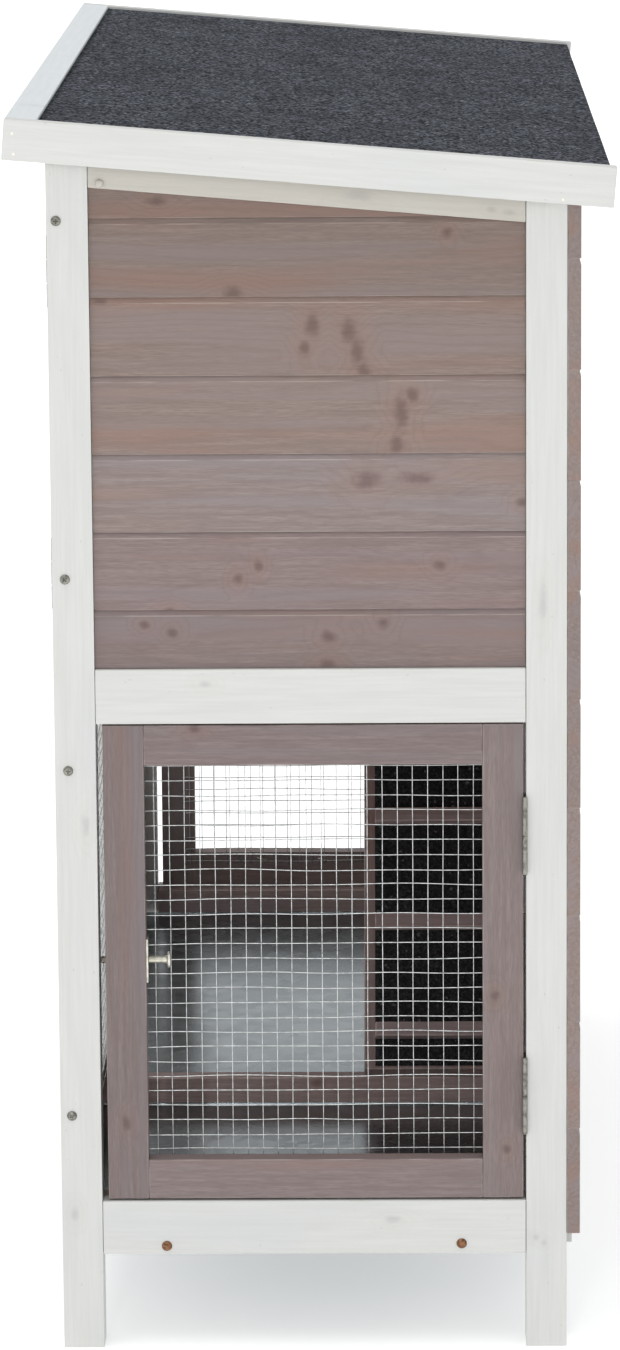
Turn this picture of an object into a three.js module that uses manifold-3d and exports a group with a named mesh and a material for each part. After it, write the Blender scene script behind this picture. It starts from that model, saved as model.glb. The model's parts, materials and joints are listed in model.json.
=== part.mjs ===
// Two-storey rabbit hutch with a pent roof, in millimetres.
// +X runs along the hutch to its right end, -Y is the front, +Z is up.
// The origin is at floor level under the middle of the whole object.

import * as THREE from 'three';
import { mergeVertices } from 'three/addons/utils/BufferGeometryUtils.js';
import Module from 'manifold-3d';

const wasm = await Module();
wasm.setup();

// ---------------------------------------------------------------- driving dimensions

// Body
const BODY_LENGTH = 1180;
const FRONT_FACE = -215;
const BACK_FACE = 210;
const POST = 34;
const RAIL_THICK = 18;
const FIT = 0.3;
const SLACK = 1;
const BEYOND = 2000;

// Roof, measured along and across its slope
const ROOF_LENGTH = 1220;
const ROOF_RUN = 498;
const ROOF_PITCH = THREE.MathUtils.degToRad(4.86);
const ROOF_TOP = 1043;
const FASCIA_HEIGHT = 33.5;
const FASCIA_THICK = 14;
const FRONT_RAIL_WIDTH = 26;
const FELT_DROP = 2.7;
const FELT_THICK = 1.8;
const DECK_THICK = 10;
const DECK_GAP = 0.2;
const DECK_BACK_INSET = 4;
const ROOF_BATTEN_HEIGHT = 17.5;
const ROOF_BATTEN_RUN = [447, 469];

// Heights of the body
const BOTTOM_RAIL = [82, 128.4];
const MID_RAIL = [538.6, 584.6];
const TOP_RAIL_DROP = 53;
const BODY_TOP_DROP = 15.4;
const BACK_TOP_DROP = 33.4;
const FRONT_SILL = [82, 101.5];
const BACK_SILL = { y: [195, 215.6], z: [81, 98.8] };
const PANEL_SILL = 129.5;

// Cladding
const FIRST_SEAM = 634;
const BOARD_PITCH = 65;
const CLADDING_THICK = 9;
const CLADDING_RECESS = 4;
const BACK_BOARD_PITCH = 91.7;
const BACK_CLADDING = [99.1, 969];
const BACK_CLADDING_THICK = 11;
const BACK_CLADDING_GAP = 0.2;
const CHAMFER_HEIGHT = 5;
const CHAMFER_DEPTH = 2;

// Framed mesh panels and doors
const STICK = 34;
const DOOR_THICK = 18;
const DOOR_RECESS = 2;
const MESH_PITCH = 12.7;
const MESH_THICK = 1.8;
const MESH_BAR = 8;
const MESH_GRID_STEP = 5;
const MESH_LAP = 12;
const MESH_GAP = 0.2;
const PANEL_GAP = 0.5;
const FRONT_DOOR_GAP = 2;

// Right end door
const DOOR_Z = [130, 537];
const LATCH_GAP = 5.4;
const HINGE_GAP = 2.2;

// Bolt and hinges
const BOLT_HEIGHT = 335.3;
const BOLT_RADIUS = 3.1;
const BOLT_HOLE_RADIUS = 3.6;
const BOLT_TIP_CLEARANCE = 1;
const SOCKET_RADIUS = 4.2;
const SOCKET_DEPTH = 16;
const BOLT_HANDLE = 16;
const KNOB_RADIUS = 6.8;
const KNOB_THICK = 3;
const PLATE_HEIGHT = 37;
const PLATE_WIDTH = 12;
const PLATE_THICK = 1.5;
const PLATE_GAP = 0.1;
const HINGE_HEIGHT = 65;
const HINGE_CENTRES = [219.5, 443];
const LEAF_THICK = 0.8;
const LEAF_WIDTH = 20;
const KNUCKLE_RADIUS = 2.1;
const PIN_RADIUS = 1;
const PIN_HOLE_RADIUS = 1.2;
const PIN_FOOT = 5;
const PIN_HEAD = 2;
const KNUCKLE_GAP = 0.2;
const KNUCKLE_RELIEF = 0.4;
const HINGE_PROUD = 2.6;

// Turn button between the upper doors
const BUTTON_Z = 786;
const BUTTON_WIDTH = 16;
const BUTTON_LENGTH = 68;
const BUTTON_THICK = 8;
const BUTTON_GAP = 0.4;

// Floors, ramp and trays
const BEARER_Y = [-127.5, 121];
const BEARER_BOTTOM = 80;
const BEARER_WIDTH = 20;
const BATTEN_WIDTH = 20;
const BATTEN_Z = [101.8, 128];
const MIDDLE_BATTEN_X = 182;
const FLOOR_THICK = 9;
const FLOOR_GAP = 0.5;
const HATCH_X = [-250, -10];
const HATCH_Y = 38;
const RAMP_FOOT_X = 196.5;
const RAMP_TOP_Z = 582;
const RAMP_ANGLE = Math.PI / 4;
const RAMP_WIDTH = 136;
const RAMP_THICK = 12;
const CLEAT_FIRST = 38;
const CLEAT_PITCH = 116;
const CLEAT_HEIGHT = 8;
const CLEAT_WIDTH = 15;
const CLEAT_LAST = 60;
const RAMP_MARGIN = 10;
const RAMP_FOOT_GAP = 0.4;
const TRAY_SHEET = 0.8;
const TRAY_WALL = 3;
const TRAY_LIP = 26;
const TRAY_BACK_GAP = 6;
const PARTITION_X = 62;
const PARTITION_HEADROOM = 3;
const DOORWAY = { y: [-150, -5], top: 800 };

// ---------------------------------------------------------------- derived places

const BODY_END = BODY_LENGTH / 2;
const POST_INNER_X = BODY_END - POST;
const POST_INNER_FRONT = FRONT_FACE + POST;
const POST_INNER_BACK = BACK_FACE - POST;
const ROOF_FALL = Math.tan(ROOF_PITCH);
const ROOF_DEPTH = ROOF_RUN * Math.cos(ROOF_PITCH) - FASCIA_HEIGHT * Math.sin(ROOF_PITCH);
const ROOF_FRONT_Y = -ROOF_DEPTH / 2;
const RAMP_FOOT_Z = BATTEN_Z[1] + RAMP_FOOT_GAP + RAMP_THICK * Math.cos(RAMP_ANGLE);
const RAMP_LENGTH = (RAMP_TOP_Z - RAMP_FOOT_Z) / Math.sin(RAMP_ANGLE);
const RAMP_TOP_X = RAMP_FOOT_X - RAMP_LENGTH * Math.cos(RAMP_ANGLE);

const roofZ = (y) => ROOF_TOP - (y - ROOF_FRONT_Y) * ROOF_FALL;
const dropped = (y, drop) => roofZ(y) - drop;

// ---------------------------------------------------------------- materials

const FINISHES = {
  whitePaint: { color: 0xe3e3df, roughness: 0.55, metalness: 0 },
  brownStain: { color: 0x8b7d7c, roughness: 0.7, metalness: 0 },
  felt: { color: 0x464a50, roughness: 0.95, metalness: 0 },
  deckBoard: { color: 0xa98f6f, roughness: 0.8, metalness: 0 },
  galvanised: { color: 0xb9bfc2, roughness: 0.3, metalness: 1 },
  zincSteel: { color: 0xd2d0c2, roughness: 0.25, metalness: 1 },
};

const material = (finish) => new THREE.MeshStandardMaterial(FINISHES[finish]);

// ---------------------------------------------------------------- shape helpers

function named(name, finish, geometry, position = [0, 0, 0]) {
  const mesh = new THREE.Mesh(geometry, material(finish));
  mesh.name = name;
  mesh.position.set(...position);
  return mesh;
}

// A straight board given by its extent along X, Y and Z.
function board(name, finish, x, y, z) {
  const extents = [x, y, z];
  const size = extents.map(([low, high]) => high - low);
  const centre = extents.map(([low, high]) => (low + high) / 2);
  return named(name, finish, new THREE.BoxGeometry(...size), centre);
}

function extruded(outline, holes, length) {
  const shape = new THREE.Shape(outline.map(([a, b]) => new THREE.Vector2(a, b)));
  for (const hole of holes) {
    shape.holes.push(new THREE.Path(hole.map(([a, b]) => new THREE.Vector2(a, b))));
  }
  return new THREE.ExtrudeGeometry(shape, { depth: length, bevelEnabled: false });
}

// Turns a flat shape drawn in (a, b) and deep along c: (a, b, c) becomes (y, z, x) or (x, z, -y).
function facingX(geometry, x) {
  return geometry.applyMatrix4(
    new THREE.Matrix4().set(0, 0, 1, x, 1, 0, 0, 0, 0, 1, 0, 0, 0, 0, 0, 1),
  );
}

function facingY(geometry, y) {
  return geometry.applyMatrix4(
    new THREE.Matrix4().set(1, 0, 0, 0, 0, 0, -1, y, 0, 1, 0, 0, 0, 0, 0, 1),
  );
}

// An outline in (y, z) carried along X.
function prismX(outline, [from, to], holes = []) {
  return facingX(extruded(outline, holes, to - from), from);
}

// An outline in (x, z) carried along Y.
function prismY(outline, [from, to], holes = []) {
  return facingY(extruded(outline, holes, to - from), to);
}

// An outline in (x, y) carried along Z.
function prismZ(outline, [from, to]) {
  return extruded(outline, [], to - from).translate(0, 0, from);
}

const rectangle = ([a0, a1], [b0, b1]) => [[a0, b0], [a1, b0], [a1, b1], [a0, b1]];

function toSolid(geometry) {
  const bare = geometry.clone();
  bare.deleteAttribute('normal');
  bare.deleteAttribute('uv');
  const welded = mergeVertices(bare, 1e-4);
  return new wasm.Manifold(new wasm.Mesh({
    numProp: 3,
    vertProperties: new Float32Array(welded.attributes.position.array),
    triVerts: new Uint32Array(welded.index.array),
  }));
}

function toGeometry(solid) {
  const mesh = solid.getMesh();
  const geometry = new THREE.BufferGeometry();
  geometry.setAttribute('position', new THREE.BufferAttribute(mesh.vertProperties, 3));
  geometry.setIndex(new THREE.BufferAttribute(mesh.triVerts, 1));
  geometry.computeVertexNormals();
  return geometry;
}

function cut(geometry, ...tools) {
  return toGeometry(tools.reduce((solid, tool) => solid.subtract(toSolid(tool)), toSolid(geometry)));
}

function join(geometry, ...extras) {
  return toGeometry(extras.reduce((solid, extra) => solid.add(toSolid(extra)), toSolid(geometry)));
}

// Round bars along Y and along Z.
function rodY(radius, [from, to], x, z, sides = 16) {
  const rod = new THREE.CylinderGeometry(radius, radius, to - from, sides);
  return rod.translate(x, (from + to) / 2, z);
}

function rodZ(radius, [from, to], x, y, sides = 16) {
  const rod = new THREE.CylinderGeometry(radius, radius, to - from, sides);
  return rod.rotateX(Math.PI / 2).translate(x, y, (from + to) / 2);
}

function block([x0, x1], [y0, y1], [z0, z1]) {
  const box = new THREE.BoxGeometry(x1 - x0, y1 - y0, z1 - z0);
  return box.translate((x0 + x1) / 2, (y0 + y1) / 2, (z0 + z1) / 2);
}

// The region above a sloped plane that lies `drop` below the roof's top plane.
function aboveRoofPlane(drop) {
  const [front, back] = [-BEYOND, BEYOND];
  const outline = [
    [front, dropped(front, drop)], [back, dropped(back, drop)], [back, BEYOND], [front, BEYOND],
  ];
  return prismX(outline, [-BEYOND, BEYOND]);
}

// Seams between horizontal boards, inside the span [low, high].
function seamHeights(first, pitch, [low, high]) {
  const seams = [];
  for (let z = first; z < high - SLACK; z += pitch) {
    if (z > low + CHAMFER_HEIGHT) seams.push(z);
  }
  return seams;
}

// Side view of a stack of boards with their outer faces at `face`. Below each seam the lower
// board's top edge is chamfered back. `inward` is the direction from the outer face into the wood.
function boardedOutline(face, inward, thick, [low, high], seams) {
  const outline = [[face, low]];
  for (const z of seams) {
    outline.push([face, z - CHAMFER_HEIGHT]);
    outline.push([face + inward * CHAMFER_DEPTH, z]);
    outline.push([face, z]);
  }
  outline.push([face, high]);
  outline.push([face + inward * thick, high]);
  outline.push([face + inward * thick, low]);
  return outline;
}

// Both edges of every bar across one direction of a mesh panel.
function barEdges([low, high]) {
  const count = Math.round((high - low) / (MESH_PITCH * MESH_GRID_STEP));
  const pitch = (high - low - MESH_BAR) / count;
  const edges = [];
  for (let i = 0; i <= count; i += 1) edges.push(low + i * pitch, low + i * pitch + MESH_BAR);
  return edges;
}

// A panel of welded mesh, drawn as every fifth wire: a flat lattice in (a, b), its depth along c.
// A cell between the bars' edges is a hole where both of its numbers are odd.
function meshPanel(spanA, spanB) {
  const across = barEdges(spanA);
  const up = barEdges(spanB);
  const inPanel = (i, j) => i >= 0 && j >= 0 && i < across.length - 1 && j < up.length - 1;
  const filled = (i, j) => inPanel(i, j) && (i % 2 === 0 || j % 2 === 0);
  const points = [];
  const corner = (i, j, c) => [across[i], up[j], c];
  const quad = (p, q, r, s) => points.push(...p, ...q, ...r, ...p, ...r, ...s);
  const wall = ([i0, j0], [i1, j1]) => quad(
    corner(i0, j0, 0), corner(i1, j1, 0), corner(i1, j1, MESH_THICK), corner(i0, j0, MESH_THICK),
  );
  for (let i = 0; i < across.length; i += 1) {
    for (let j = 0; j < up.length; j += 1) {
      if (!filled(i, j)) continue;
      const ring = [[i, j], [i + 1, j], [i + 1, j + 1], [i, j + 1]];
      quad(...ring.map(([a, b]) => corner(a, b, MESH_THICK)));
      quad(...ring.toReversed().map(([a, b]) => corner(a, b, 0)));
      if (!filled(i, j - 1)) wall(ring[0], ring[1]);
      if (!filled(i + 1, j)) wall(ring[1], ring[2]);
      if (!filled(i, j + 1)) wall(ring[2], ring[3]);
      if (!filled(i - 1, j)) wall(ring[3], ring[0]);
    }
  }
  const geometry = new THREE.BufferGeometry();
  geometry.setAttribute('position', new THREE.Float32BufferAttribute(points, 3));
  geometry.computeVertexNormals();
  return geometry;
}

const inset = ([low, high], by) => [low + by, high - by];

// ---------------------------------------------------------------- frame: posts and rails

const frame = new THREE.Group();

function post(name, side, [y0, y1], drop, hole = null) {
  const x = side > 0 ? [POST_INNER_X, BODY_END] : [-BODY_END, -POST_INNER_X];
  const outline = [[y0, 0], [y1, 0], [y1, dropped(y1, drop)], [y0, dropped(y0, drop)]];
  const solid = prismX(outline, x);
  return named(name, 'whitePaint', hole ? cut(solid, hole) : solid);
}

const DOOR_X = [BODY_END - DOOR_RECESS - DOOR_THICK, BODY_END - DOOR_RECESS];
const BOLT_X = (DOOR_X[0] + DOOR_X[1]) / 2;
const SOCKET_Y = [POST_INNER_FRONT - SOCKET_DEPTH, POST_INNER_FRONT + SLACK];
const boltSocket = rodY(SOCKET_RADIUS, SOCKET_Y, BOLT_X, BOLT_HEIGHT);

frame.add(
  post('post_front_right', 1, [FRONT_FACE, POST_INNER_FRONT], BODY_TOP_DROP, boltSocket),
  post('post_front_left', -1, [FRONT_FACE, POST_INNER_FRONT], BODY_TOP_DROP),
  post('post_back_right', 1, [POST_INNER_BACK, BACK_FACE], BACK_TOP_DROP),
  post('post_back_left', -1, [POST_INNER_BACK, BACK_FACE], BACK_TOP_DROP),
);

const END_RAIL_Y = [POST_INNER_FRONT + FIT, POST_INNER_BACK - FIT];

function endSpan(side, thick, recess = 0) {
  const outer = BODY_END - recess;
  return side > 0 ? [outer - thick, outer] : [-outer, thick - outer];
}

for (const [end, side] of [['right', 1], ['left', -1]]) {
  const x = endSpan(side, RAIL_THICK);
  frame.add(board(`${end}_end_bottom_rail`, 'whitePaint', x, END_RAIL_Y, BOTTOM_RAIL));
  frame.add(board(`${end}_end_mid_rail`, 'whitePaint', x, END_RAIL_Y, MID_RAIL));

  const [y0, y1] = END_RAIL_Y;
  const slopedRail = [
    [y0, dropped(y0, TOP_RAIL_DROP)], [y1, dropped(y1, TOP_RAIL_DROP)],
    [y1, dropped(y1, BODY_TOP_DROP)], [y0, dropped(y0, BODY_TOP_DROP)],
  ];
  frame.add(named(`${end}_end_top_rail`, 'whitePaint', prismX(slopedRail, x)));
}

// Rails between the front posts and between the back posts.
const BETWEEN_POSTS = [-POST_INNER_X + FIT, POST_INNER_X - FIT];
const FRONT_RAIL_Y = [FRONT_FACE, FRONT_FACE + RAIL_THICK];
const BACK_RAIL_Y = [BACK_FACE - RAIL_THICK - BACK_CLADDING_GAP, BACK_FACE - BACK_CLADDING_GAP];

function slopedTopRail(name, [y0, y1], drop) {
  const low = dropped(y0, TOP_RAIL_DROP);
  const outline = [[y0, low], [y1, low], [y1, dropped(y1, drop)], [y0, dropped(y0, drop)]];
  return named(name, 'whitePaint', prismX(outline, BETWEEN_POSTS));
}

frame.add(
  board('front_bottom_rail', 'whitePaint', BETWEEN_POSTS, FRONT_RAIL_Y, FRONT_SILL),
  board('front_mid_rail', 'whitePaint', BETWEEN_POSTS, [FRONT_FACE, POST_INNER_FRONT], MID_RAIL),
  slopedTopRail('front_top_rail', FRONT_RAIL_Y, BODY_TOP_DROP),
  board('back_bottom_rail', 'whitePaint', BETWEEN_POSTS, BACK_SILL.y, BACK_SILL.z),
  board('back_mid_rail', 'whitePaint', BETWEEN_POSTS, BACK_RAIL_Y, MID_RAIL),
  slopedTopRail('back_top_rail', BACK_RAIL_Y, BACK_TOP_DROP),
);

// Mullions between the two bays of the front.
const TOP_RAIL_FOOT = dropped(FRONT_FACE, TOP_RAIL_DROP);
const LOWER_BAY_Z = [PANEL_SILL, MID_RAIL[0] - SLACK];
const UPPER_BAY_Z = [MID_RAIL[1] + FRONT_DOOR_GAP, TOP_RAIL_FOOT - FRONT_DOOR_GAP];
const MULLION_X = [-POST / 2, POST / 2];
frame.add(
  board('front_lower_mullion', 'whitePaint', MULLION_X, FRONT_RAIL_Y, [LOWER_BAY_Z[0], MID_RAIL[0] - FIT]),
  board('front_upper_mullion', 'whitePaint', MULLION_X, FRONT_RAIL_Y,
    [MID_RAIL[1] + FIT, TOP_RAIL_FOOT - FIT]),
);

// ---------------------------------------------------------------- cladding

const END_CLADDING_Z = [MID_RAIL[1] + FIT, ROOF_TOP];
const END_SEAM_SPAN = [END_CLADDING_Z[0], dropped(END_RAIL_Y[0], TOP_RAIL_DROP)];
const END_SEAMS = seamHeights(FIRST_SEAM, BOARD_PITCH, END_SEAM_SPAN);

for (const [end, side] of [['right', 1], ['left', -1]]) {
  const face = side * (BODY_END - CLADDING_RECESS);
  const outline = boardedOutline(face, -side, CLADDING_THICK, END_CLADDING_Z, END_SEAMS);
  const panel = cut(prismY(outline, END_RAIL_Y), aboveRoofPlane(TOP_RAIL_DROP + FIT));
  frame.add(named(`${end}_end_cladding`, 'brownStain', panel));
}

const BACK_SEAMS = seamHeights(BACK_CLADDING[0] + BACK_BOARD_PITCH, BACK_BOARD_PITCH, BACK_CLADDING);
const BACK_OUTER = BACK_FACE + BACK_CLADDING_GAP + BACK_CLADDING_THICK;
frame.add(named('back_cladding', 'brownStain', prismX(
  boardedOutline(BACK_OUTER, -1, BACK_CLADDING_THICK, BACK_CLADDING, BACK_SEAMS),
  [-BODY_END, BODY_END],
)));

// ---------------------------------------------------------------- floors and partition

const FLOOR_Z = [MID_RAIL[1] + FIT, MID_RAIL[1] + FIT + FLOOR_THICK];
const FLOOR_END = BODY_END - CLADDING_RECESS - CLADDING_THICK - FLOOR_GAP;
const FLOOR_FRONT = FRONT_FACE + DOOR_RECESS + DOOR_THICK + MESH_GAP + MESH_THICK + SLACK;
const FLOOR_BACK = BACK_FACE - FLOOR_GAP;
const NOTCH_X = POST_INNER_X - SLACK;
const NOTCH_FRONT = POST_INNER_FRONT + SLACK;
const NOTCH_BACK = POST_INNER_BACK - SLACK;

const frontFloor = [
  [-NOTCH_X, FLOOR_FRONT], [NOTCH_X, FLOOR_FRONT], [NOTCH_X, NOTCH_FRONT], [FLOOR_END, NOTCH_FRONT],
  [FLOOR_END, HATCH_Y - FIT], [-FLOOR_END, HATCH_Y - FIT], [-FLOOR_END, NOTCH_FRONT],
  [-NOTCH_X, NOTCH_FRONT],
];
const backFloor = (side, hatchX) => [
  [hatchX, HATCH_Y], [side * FLOOR_END, HATCH_Y], [side * FLOOR_END, NOTCH_BACK],
  [side * NOTCH_X, NOTCH_BACK], [side * NOTCH_X, FLOOR_BACK], [hatchX, FLOOR_BACK],
];
frame.add(
  named('upper_floor_front', 'brownStain', prismZ(frontFloor, FLOOR_Z)),
  named('upper_floor_back_left', 'brownStain', prismZ(backFloor(-1, HATCH_X[0]), FLOOR_Z)),
  named('upper_floor_back_right', 'brownStain', prismZ(backFloor(1, HATCH_X[1]), FLOOR_Z)),
);

const PARTITION_Y = [FLOOR_FRONT, BACK_RAIL_Y[0] - SLACK];
const PARTITION_FOOT = FLOOR_Z[1] + FIT;
const PARTITION_DROP = BODY_TOP_DROP + PARTITION_HEADROOM;
const partition = [
  [PARTITION_Y[0], PARTITION_FOOT], [DOORWAY.y[0], PARTITION_FOOT], [DOORWAY.y[0], DOORWAY.top],
  [DOORWAY.y[1], DOORWAY.top], [DOORWAY.y[1], PARTITION_FOOT], [PARTITION_Y[1], PARTITION_FOOT],
  [PARTITION_Y[1], dropped(PARTITION_Y[1], PARTITION_DROP)],
  [PARTITION_Y[0], dropped(PARTITION_Y[0], PARTITION_DROP)],
];
frame.add(named('partition', 'brownStain', prismX(partition, [PARTITION_X, PARTITION_X + FLOOR_THICK])));

// Lengthwise bearers under the trays, and the battens across them.
const INSIDE_RAILS = BODY_END - RAIL_THICK - FIT;
const spanAbout = (centre, width) => [centre - width / 2, centre + width / 2];
for (const [place, y] of [['front', BEARER_Y[0]], ['back', BEARER_Y[1]]]) {
  frame.add(board(`floor_bearer_${place}`, 'whitePaint', [-INSIDE_RAILS, INSIDE_RAILS],
    spanAbout(y, BEARER_WIDTH), [BEARER_BOTTOM, FRONT_SILL[1]]));
}

const END_BATTEN_X = INSIDE_RAILS - BATTEN_WIDTH / 2;
const MIDDLE_BATTEN_SPAN = spanAbout(MIDDLE_BATTEN_X, BATTEN_WIDTH);
const MIDDLE_BATTEN_Y = [FRONT_FACE + SLACK, BACK_FACE - TRAY_BACK_GAP];
for (const [end, x] of [['left', -END_BATTEN_X], ['right', END_BATTEN_X]]) {
  frame.add(board(`floor_batten_${end}`, 'brownStain', spanAbout(x, BATTEN_WIDTH),
    [NOTCH_FRONT, NOTCH_BACK], BATTEN_Z));
}
frame.add(board('floor_batten_middle', 'brownStain', MIDDLE_BATTEN_SPAN, MIDDLE_BATTEN_Y, BATTEN_Z));

// ---------------------------------------------------------------- fixed mesh panels

// One-piece frame standing in an end wall, outline in (y, z).
const END_PANEL_Y = [POST_INNER_FRONT + LATCH_GAP, POST_INNER_BACK - HINGE_GAP];
const leftEndX = [-DOOR_X[1], -DOOR_X[0]];
const endWindow = [inset(END_PANEL_Y, STICK), inset(DOOR_Z, STICK)];
frame.add(named('left_end_frame', 'brownStain',
  prismX(rectangle(END_PANEL_Y, DOOR_Z), leftEndX, [rectangle(...endWindow)])));

function endMesh(name, x) {
  const y = inset(endWindow[0], -MESH_LAP);
  const z = inset(endWindow[1], -MESH_LAP);
  return named(name, 'galvanised', facingX(meshPanel(y, z), x[0]));
}

const END_MESH_X = [DOOR_X[0] - MESH_GAP - MESH_THICK, DOOR_X[0] - MESH_GAP];
frame.add(endMesh('left_end_mesh', [-END_MESH_X[1], -END_MESH_X[0]]));

// One-piece frame standing in the front wall, outline in (x, z), with its mesh behind.
const FRONT_PANEL_Y = [FRONT_FACE + DOOR_RECESS, FRONT_FACE + DOOR_RECESS + DOOR_THICK];
const FRONT_MESH_Y = [FRONT_PANEL_Y[1] + MESH_GAP, FRONT_PANEL_Y[1] + MESH_GAP + MESH_THICK];
const BAY = [POST / 2, POST_INNER_X];

function frontFrame(name, x, z) {
  const window = rectangle(inset(x, STICK), inset(z, STICK));
  return named(name, 'brownStain', prismY(rectangle(x, z), FRONT_PANEL_Y, [window]));
}

function frontMesh(name, x, z) {
  const across = inset(x, STICK - MESH_LAP);
  const up = inset(z, STICK - MESH_LAP);
  return named(name, 'galvanised', facingY(meshPanel(across, up), FRONT_MESH_Y[1]));
}

const bayX = (side, gap) => (side > 0 ? inset(BAY, gap) : [-BAY[1] + gap, -BAY[0] - gap]);
for (const [place, side] of [['left', -1], ['right', 1]]) {
  frame.add(frontFrame(`lower_front_${place}_frame`, bayX(side, PANEL_GAP), LOWER_BAY_Z));
  frame.add(frontMesh(`lower_front_${place}_mesh`, bayX(side, PANEL_GAP), LOWER_BAY_Z));
}

// ---------------------------------------------------------------- right end door

const endDoor = new THREE.Group();
const DOOR_Y = END_PANEL_Y;
const LATCH_STILE_Y = [DOOR_Y[0], DOOR_Y[0] + STICK];
const HINGE_STILE_Y = [DOOR_Y[1] - STICK, DOOR_Y[1]];
const DOOR_RAIL_Y = [LATCH_STILE_Y[1] + PLATE_GAP, HINGE_STILE_Y[0] - PLATE_GAP];

const boltBore = rodY(BOLT_HOLE_RADIUS, inset(LATCH_STILE_Y, -SLACK), BOLT_X, BOLT_HEIGHT);
endDoor.add(
  named('end_door_latch_stile', 'brownStain', cut(block(DOOR_X, LATCH_STILE_Y, DOOR_Z), boltBore)),
  board('end_door_hinge_stile', 'brownStain', DOOR_X, HINGE_STILE_Y, DOOR_Z),
  board('end_door_top_rail', 'brownStain', DOOR_X, DOOR_RAIL_Y, [DOOR_Z[1] - STICK, DOOR_Z[1]]),
  board('end_door_bottom_rail', 'brownStain', DOOR_X, DOOR_RAIL_Y, [DOOR_Z[0], DOOR_Z[0] + STICK]),
  endMesh('end_door_mesh', END_MESH_X),
);

const PLATE_Y = [LATCH_STILE_Y[1] + PLATE_GAP, LATCH_STILE_Y[1] + PLATE_GAP + PLATE_THICK];
const plate = block(spanAbout(BOLT_X, PLATE_WIDTH), PLATE_Y, spanAbout(BOLT_HEIGHT, PLATE_HEIGHT));
const plateBore = rodY(BOLT_HOLE_RADIUS, inset(PLATE_Y, -SLACK), BOLT_X, BOLT_HEIGHT);
endDoor.add(named('bolt_plate', 'zincSteel', cut(plate, plateBore)));

// Sliding bolt: a rod with a disc knob, its tip just clear of the post.
const BOLT_TIP = POST_INNER_FRONT + BOLT_TIP_CLEARANCE;
const KNOB_START = PLATE_Y[1] + BOLT_HANDLE;
const boltRod = rodY(BOLT_RADIUS, [BOLT_TIP, KNOB_START + SLACK], BOLT_X, BOLT_HEIGHT, 20);
const boltKnob = rodY(KNOB_RADIUS, [KNOB_START, KNOB_START + KNOB_THICK], BOLT_X, BOLT_HEIGHT, 24);
const boltGroup = new THREE.Group();
boltGroup.add(named('bolt', 'zincSteel', join(boltRod, boltKnob)));

// Butt hinges: the door leaf carries the upper knuckle, the post leaf the lower knuckle and the pin.
const HINGE_X = BODY_END + HINGE_PROUD;
const HINGE_Y = POST_INNER_BACK - HINGE_GAP / 2;

function leafPlate(y, [z0, z1]) {
  return block([HINGE_X - KNUCKLE_RADIUS - LEAF_WIDTH, HINGE_X], y, [z0, z1]);
}

const DOOR_LEAF_Y = [DOOR_Y[1] + PLATE_GAP, DOOR_Y[1] + PLATE_GAP + LEAF_THICK];
const POST_LEAF_Y = [POST_INNER_BACK - PLATE_GAP - LEAF_THICK, POST_INNER_BACK - PLATE_GAP];
HINGE_CENTRES.forEach((centre, index) => {
  const place = index === 0 ? 'lower' : 'upper';
  const [low, high] = spanAbout(centre, HINGE_HEIGHT);
  const atHinge = (radius, z, sides) => rodZ(radius, z, HINGE_X, HINGE_Y, sides);
  const relief = (z) => atHinge(KNUCKLE_RADIUS + KNUCKLE_RELIEF, z);

  const upperKnuckle = atHinge(KNUCKLE_RADIUS, [centre + KNUCKLE_GAP, high]);
  const bore = atHinge(PIN_HOLE_RADIUS, [centre - SLACK, high + SLACK], 12);
  const lowerRelief = relief([low - SLACK, centre + KNUCKLE_GAP]);
  const doorLeaf = cut(join(leafPlate(DOOR_LEAF_Y, [low, high]), upperKnuckle), bore, lowerRelief);
  endDoor.add(named(`hinge_door_leaf_${place}`, 'zincSteel', doorLeaf));

  const lowerKnuckle = atHinge(KNUCKLE_RADIUS, [low, centre - KNUCKLE_GAP]);
  const upperRelief = relief([centre - KNUCKLE_GAP, high + SLACK]);
  const pin = atHinge(PIN_RADIUS, [low + PIN_FOOT, high - PIN_HEAD], 12);
  const postLeaf = join(cut(join(leafPlate(POST_LEAF_Y, [low, high]), lowerKnuckle), upperRelief), pin);
  frame.add(named(`hinge_post_leaf_${place}`, 'zincSteel', postLeaf));
});

// ---------------------------------------------------------------- upper front doors

const meshDoor = new THREE.Group();
meshDoor.add(
  frontFrame('mesh_door_frame', bayX(-1, FRONT_DOOR_GAP), UPPER_BAY_Z),
  frontMesh('mesh_door_mesh', bayX(-1, FRONT_DOOR_GAP), UPPER_BAY_Z),
);

const nestDoor = new THREE.Group();
const nestSeams = seamHeights(FIRST_SEAM, BOARD_PITCH, UPPER_BAY_Z);
const nestSide = boardedOutline(FRONT_PANEL_Y[0], 1, DOOR_THICK, UPPER_BAY_Z, nestSeams);
nestDoor.add(named('nest_door', 'brownStain', prismX(nestSide, bayX(1, FRONT_DOOR_GAP))));

// A button that turns on a screw in the mullion and holds both doors when it lies level.
const BUTTON_Y = [FRONT_FACE - BUTTON_GAP - BUTTON_THICK, FRONT_FACE - BUTTON_GAP];
const turnButton = new THREE.Group();
turnButton.add(board('turn_button', 'whitePaint', spanAbout(0, BUTTON_WIDTH), BUTTON_Y,
  spanAbout(BUTTON_Z, BUTTON_LENGTH)));

// ---------------------------------------------------------------- roof lid

// Inside this group Y runs down the slope from the front top edge and Z is square to the roof.
const roof = new THREE.Group();
roof.position.set(0, ROOF_FRONT_Y, ROOF_TOP);
roof.rotation.x = -ROOF_PITCH;

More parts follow.
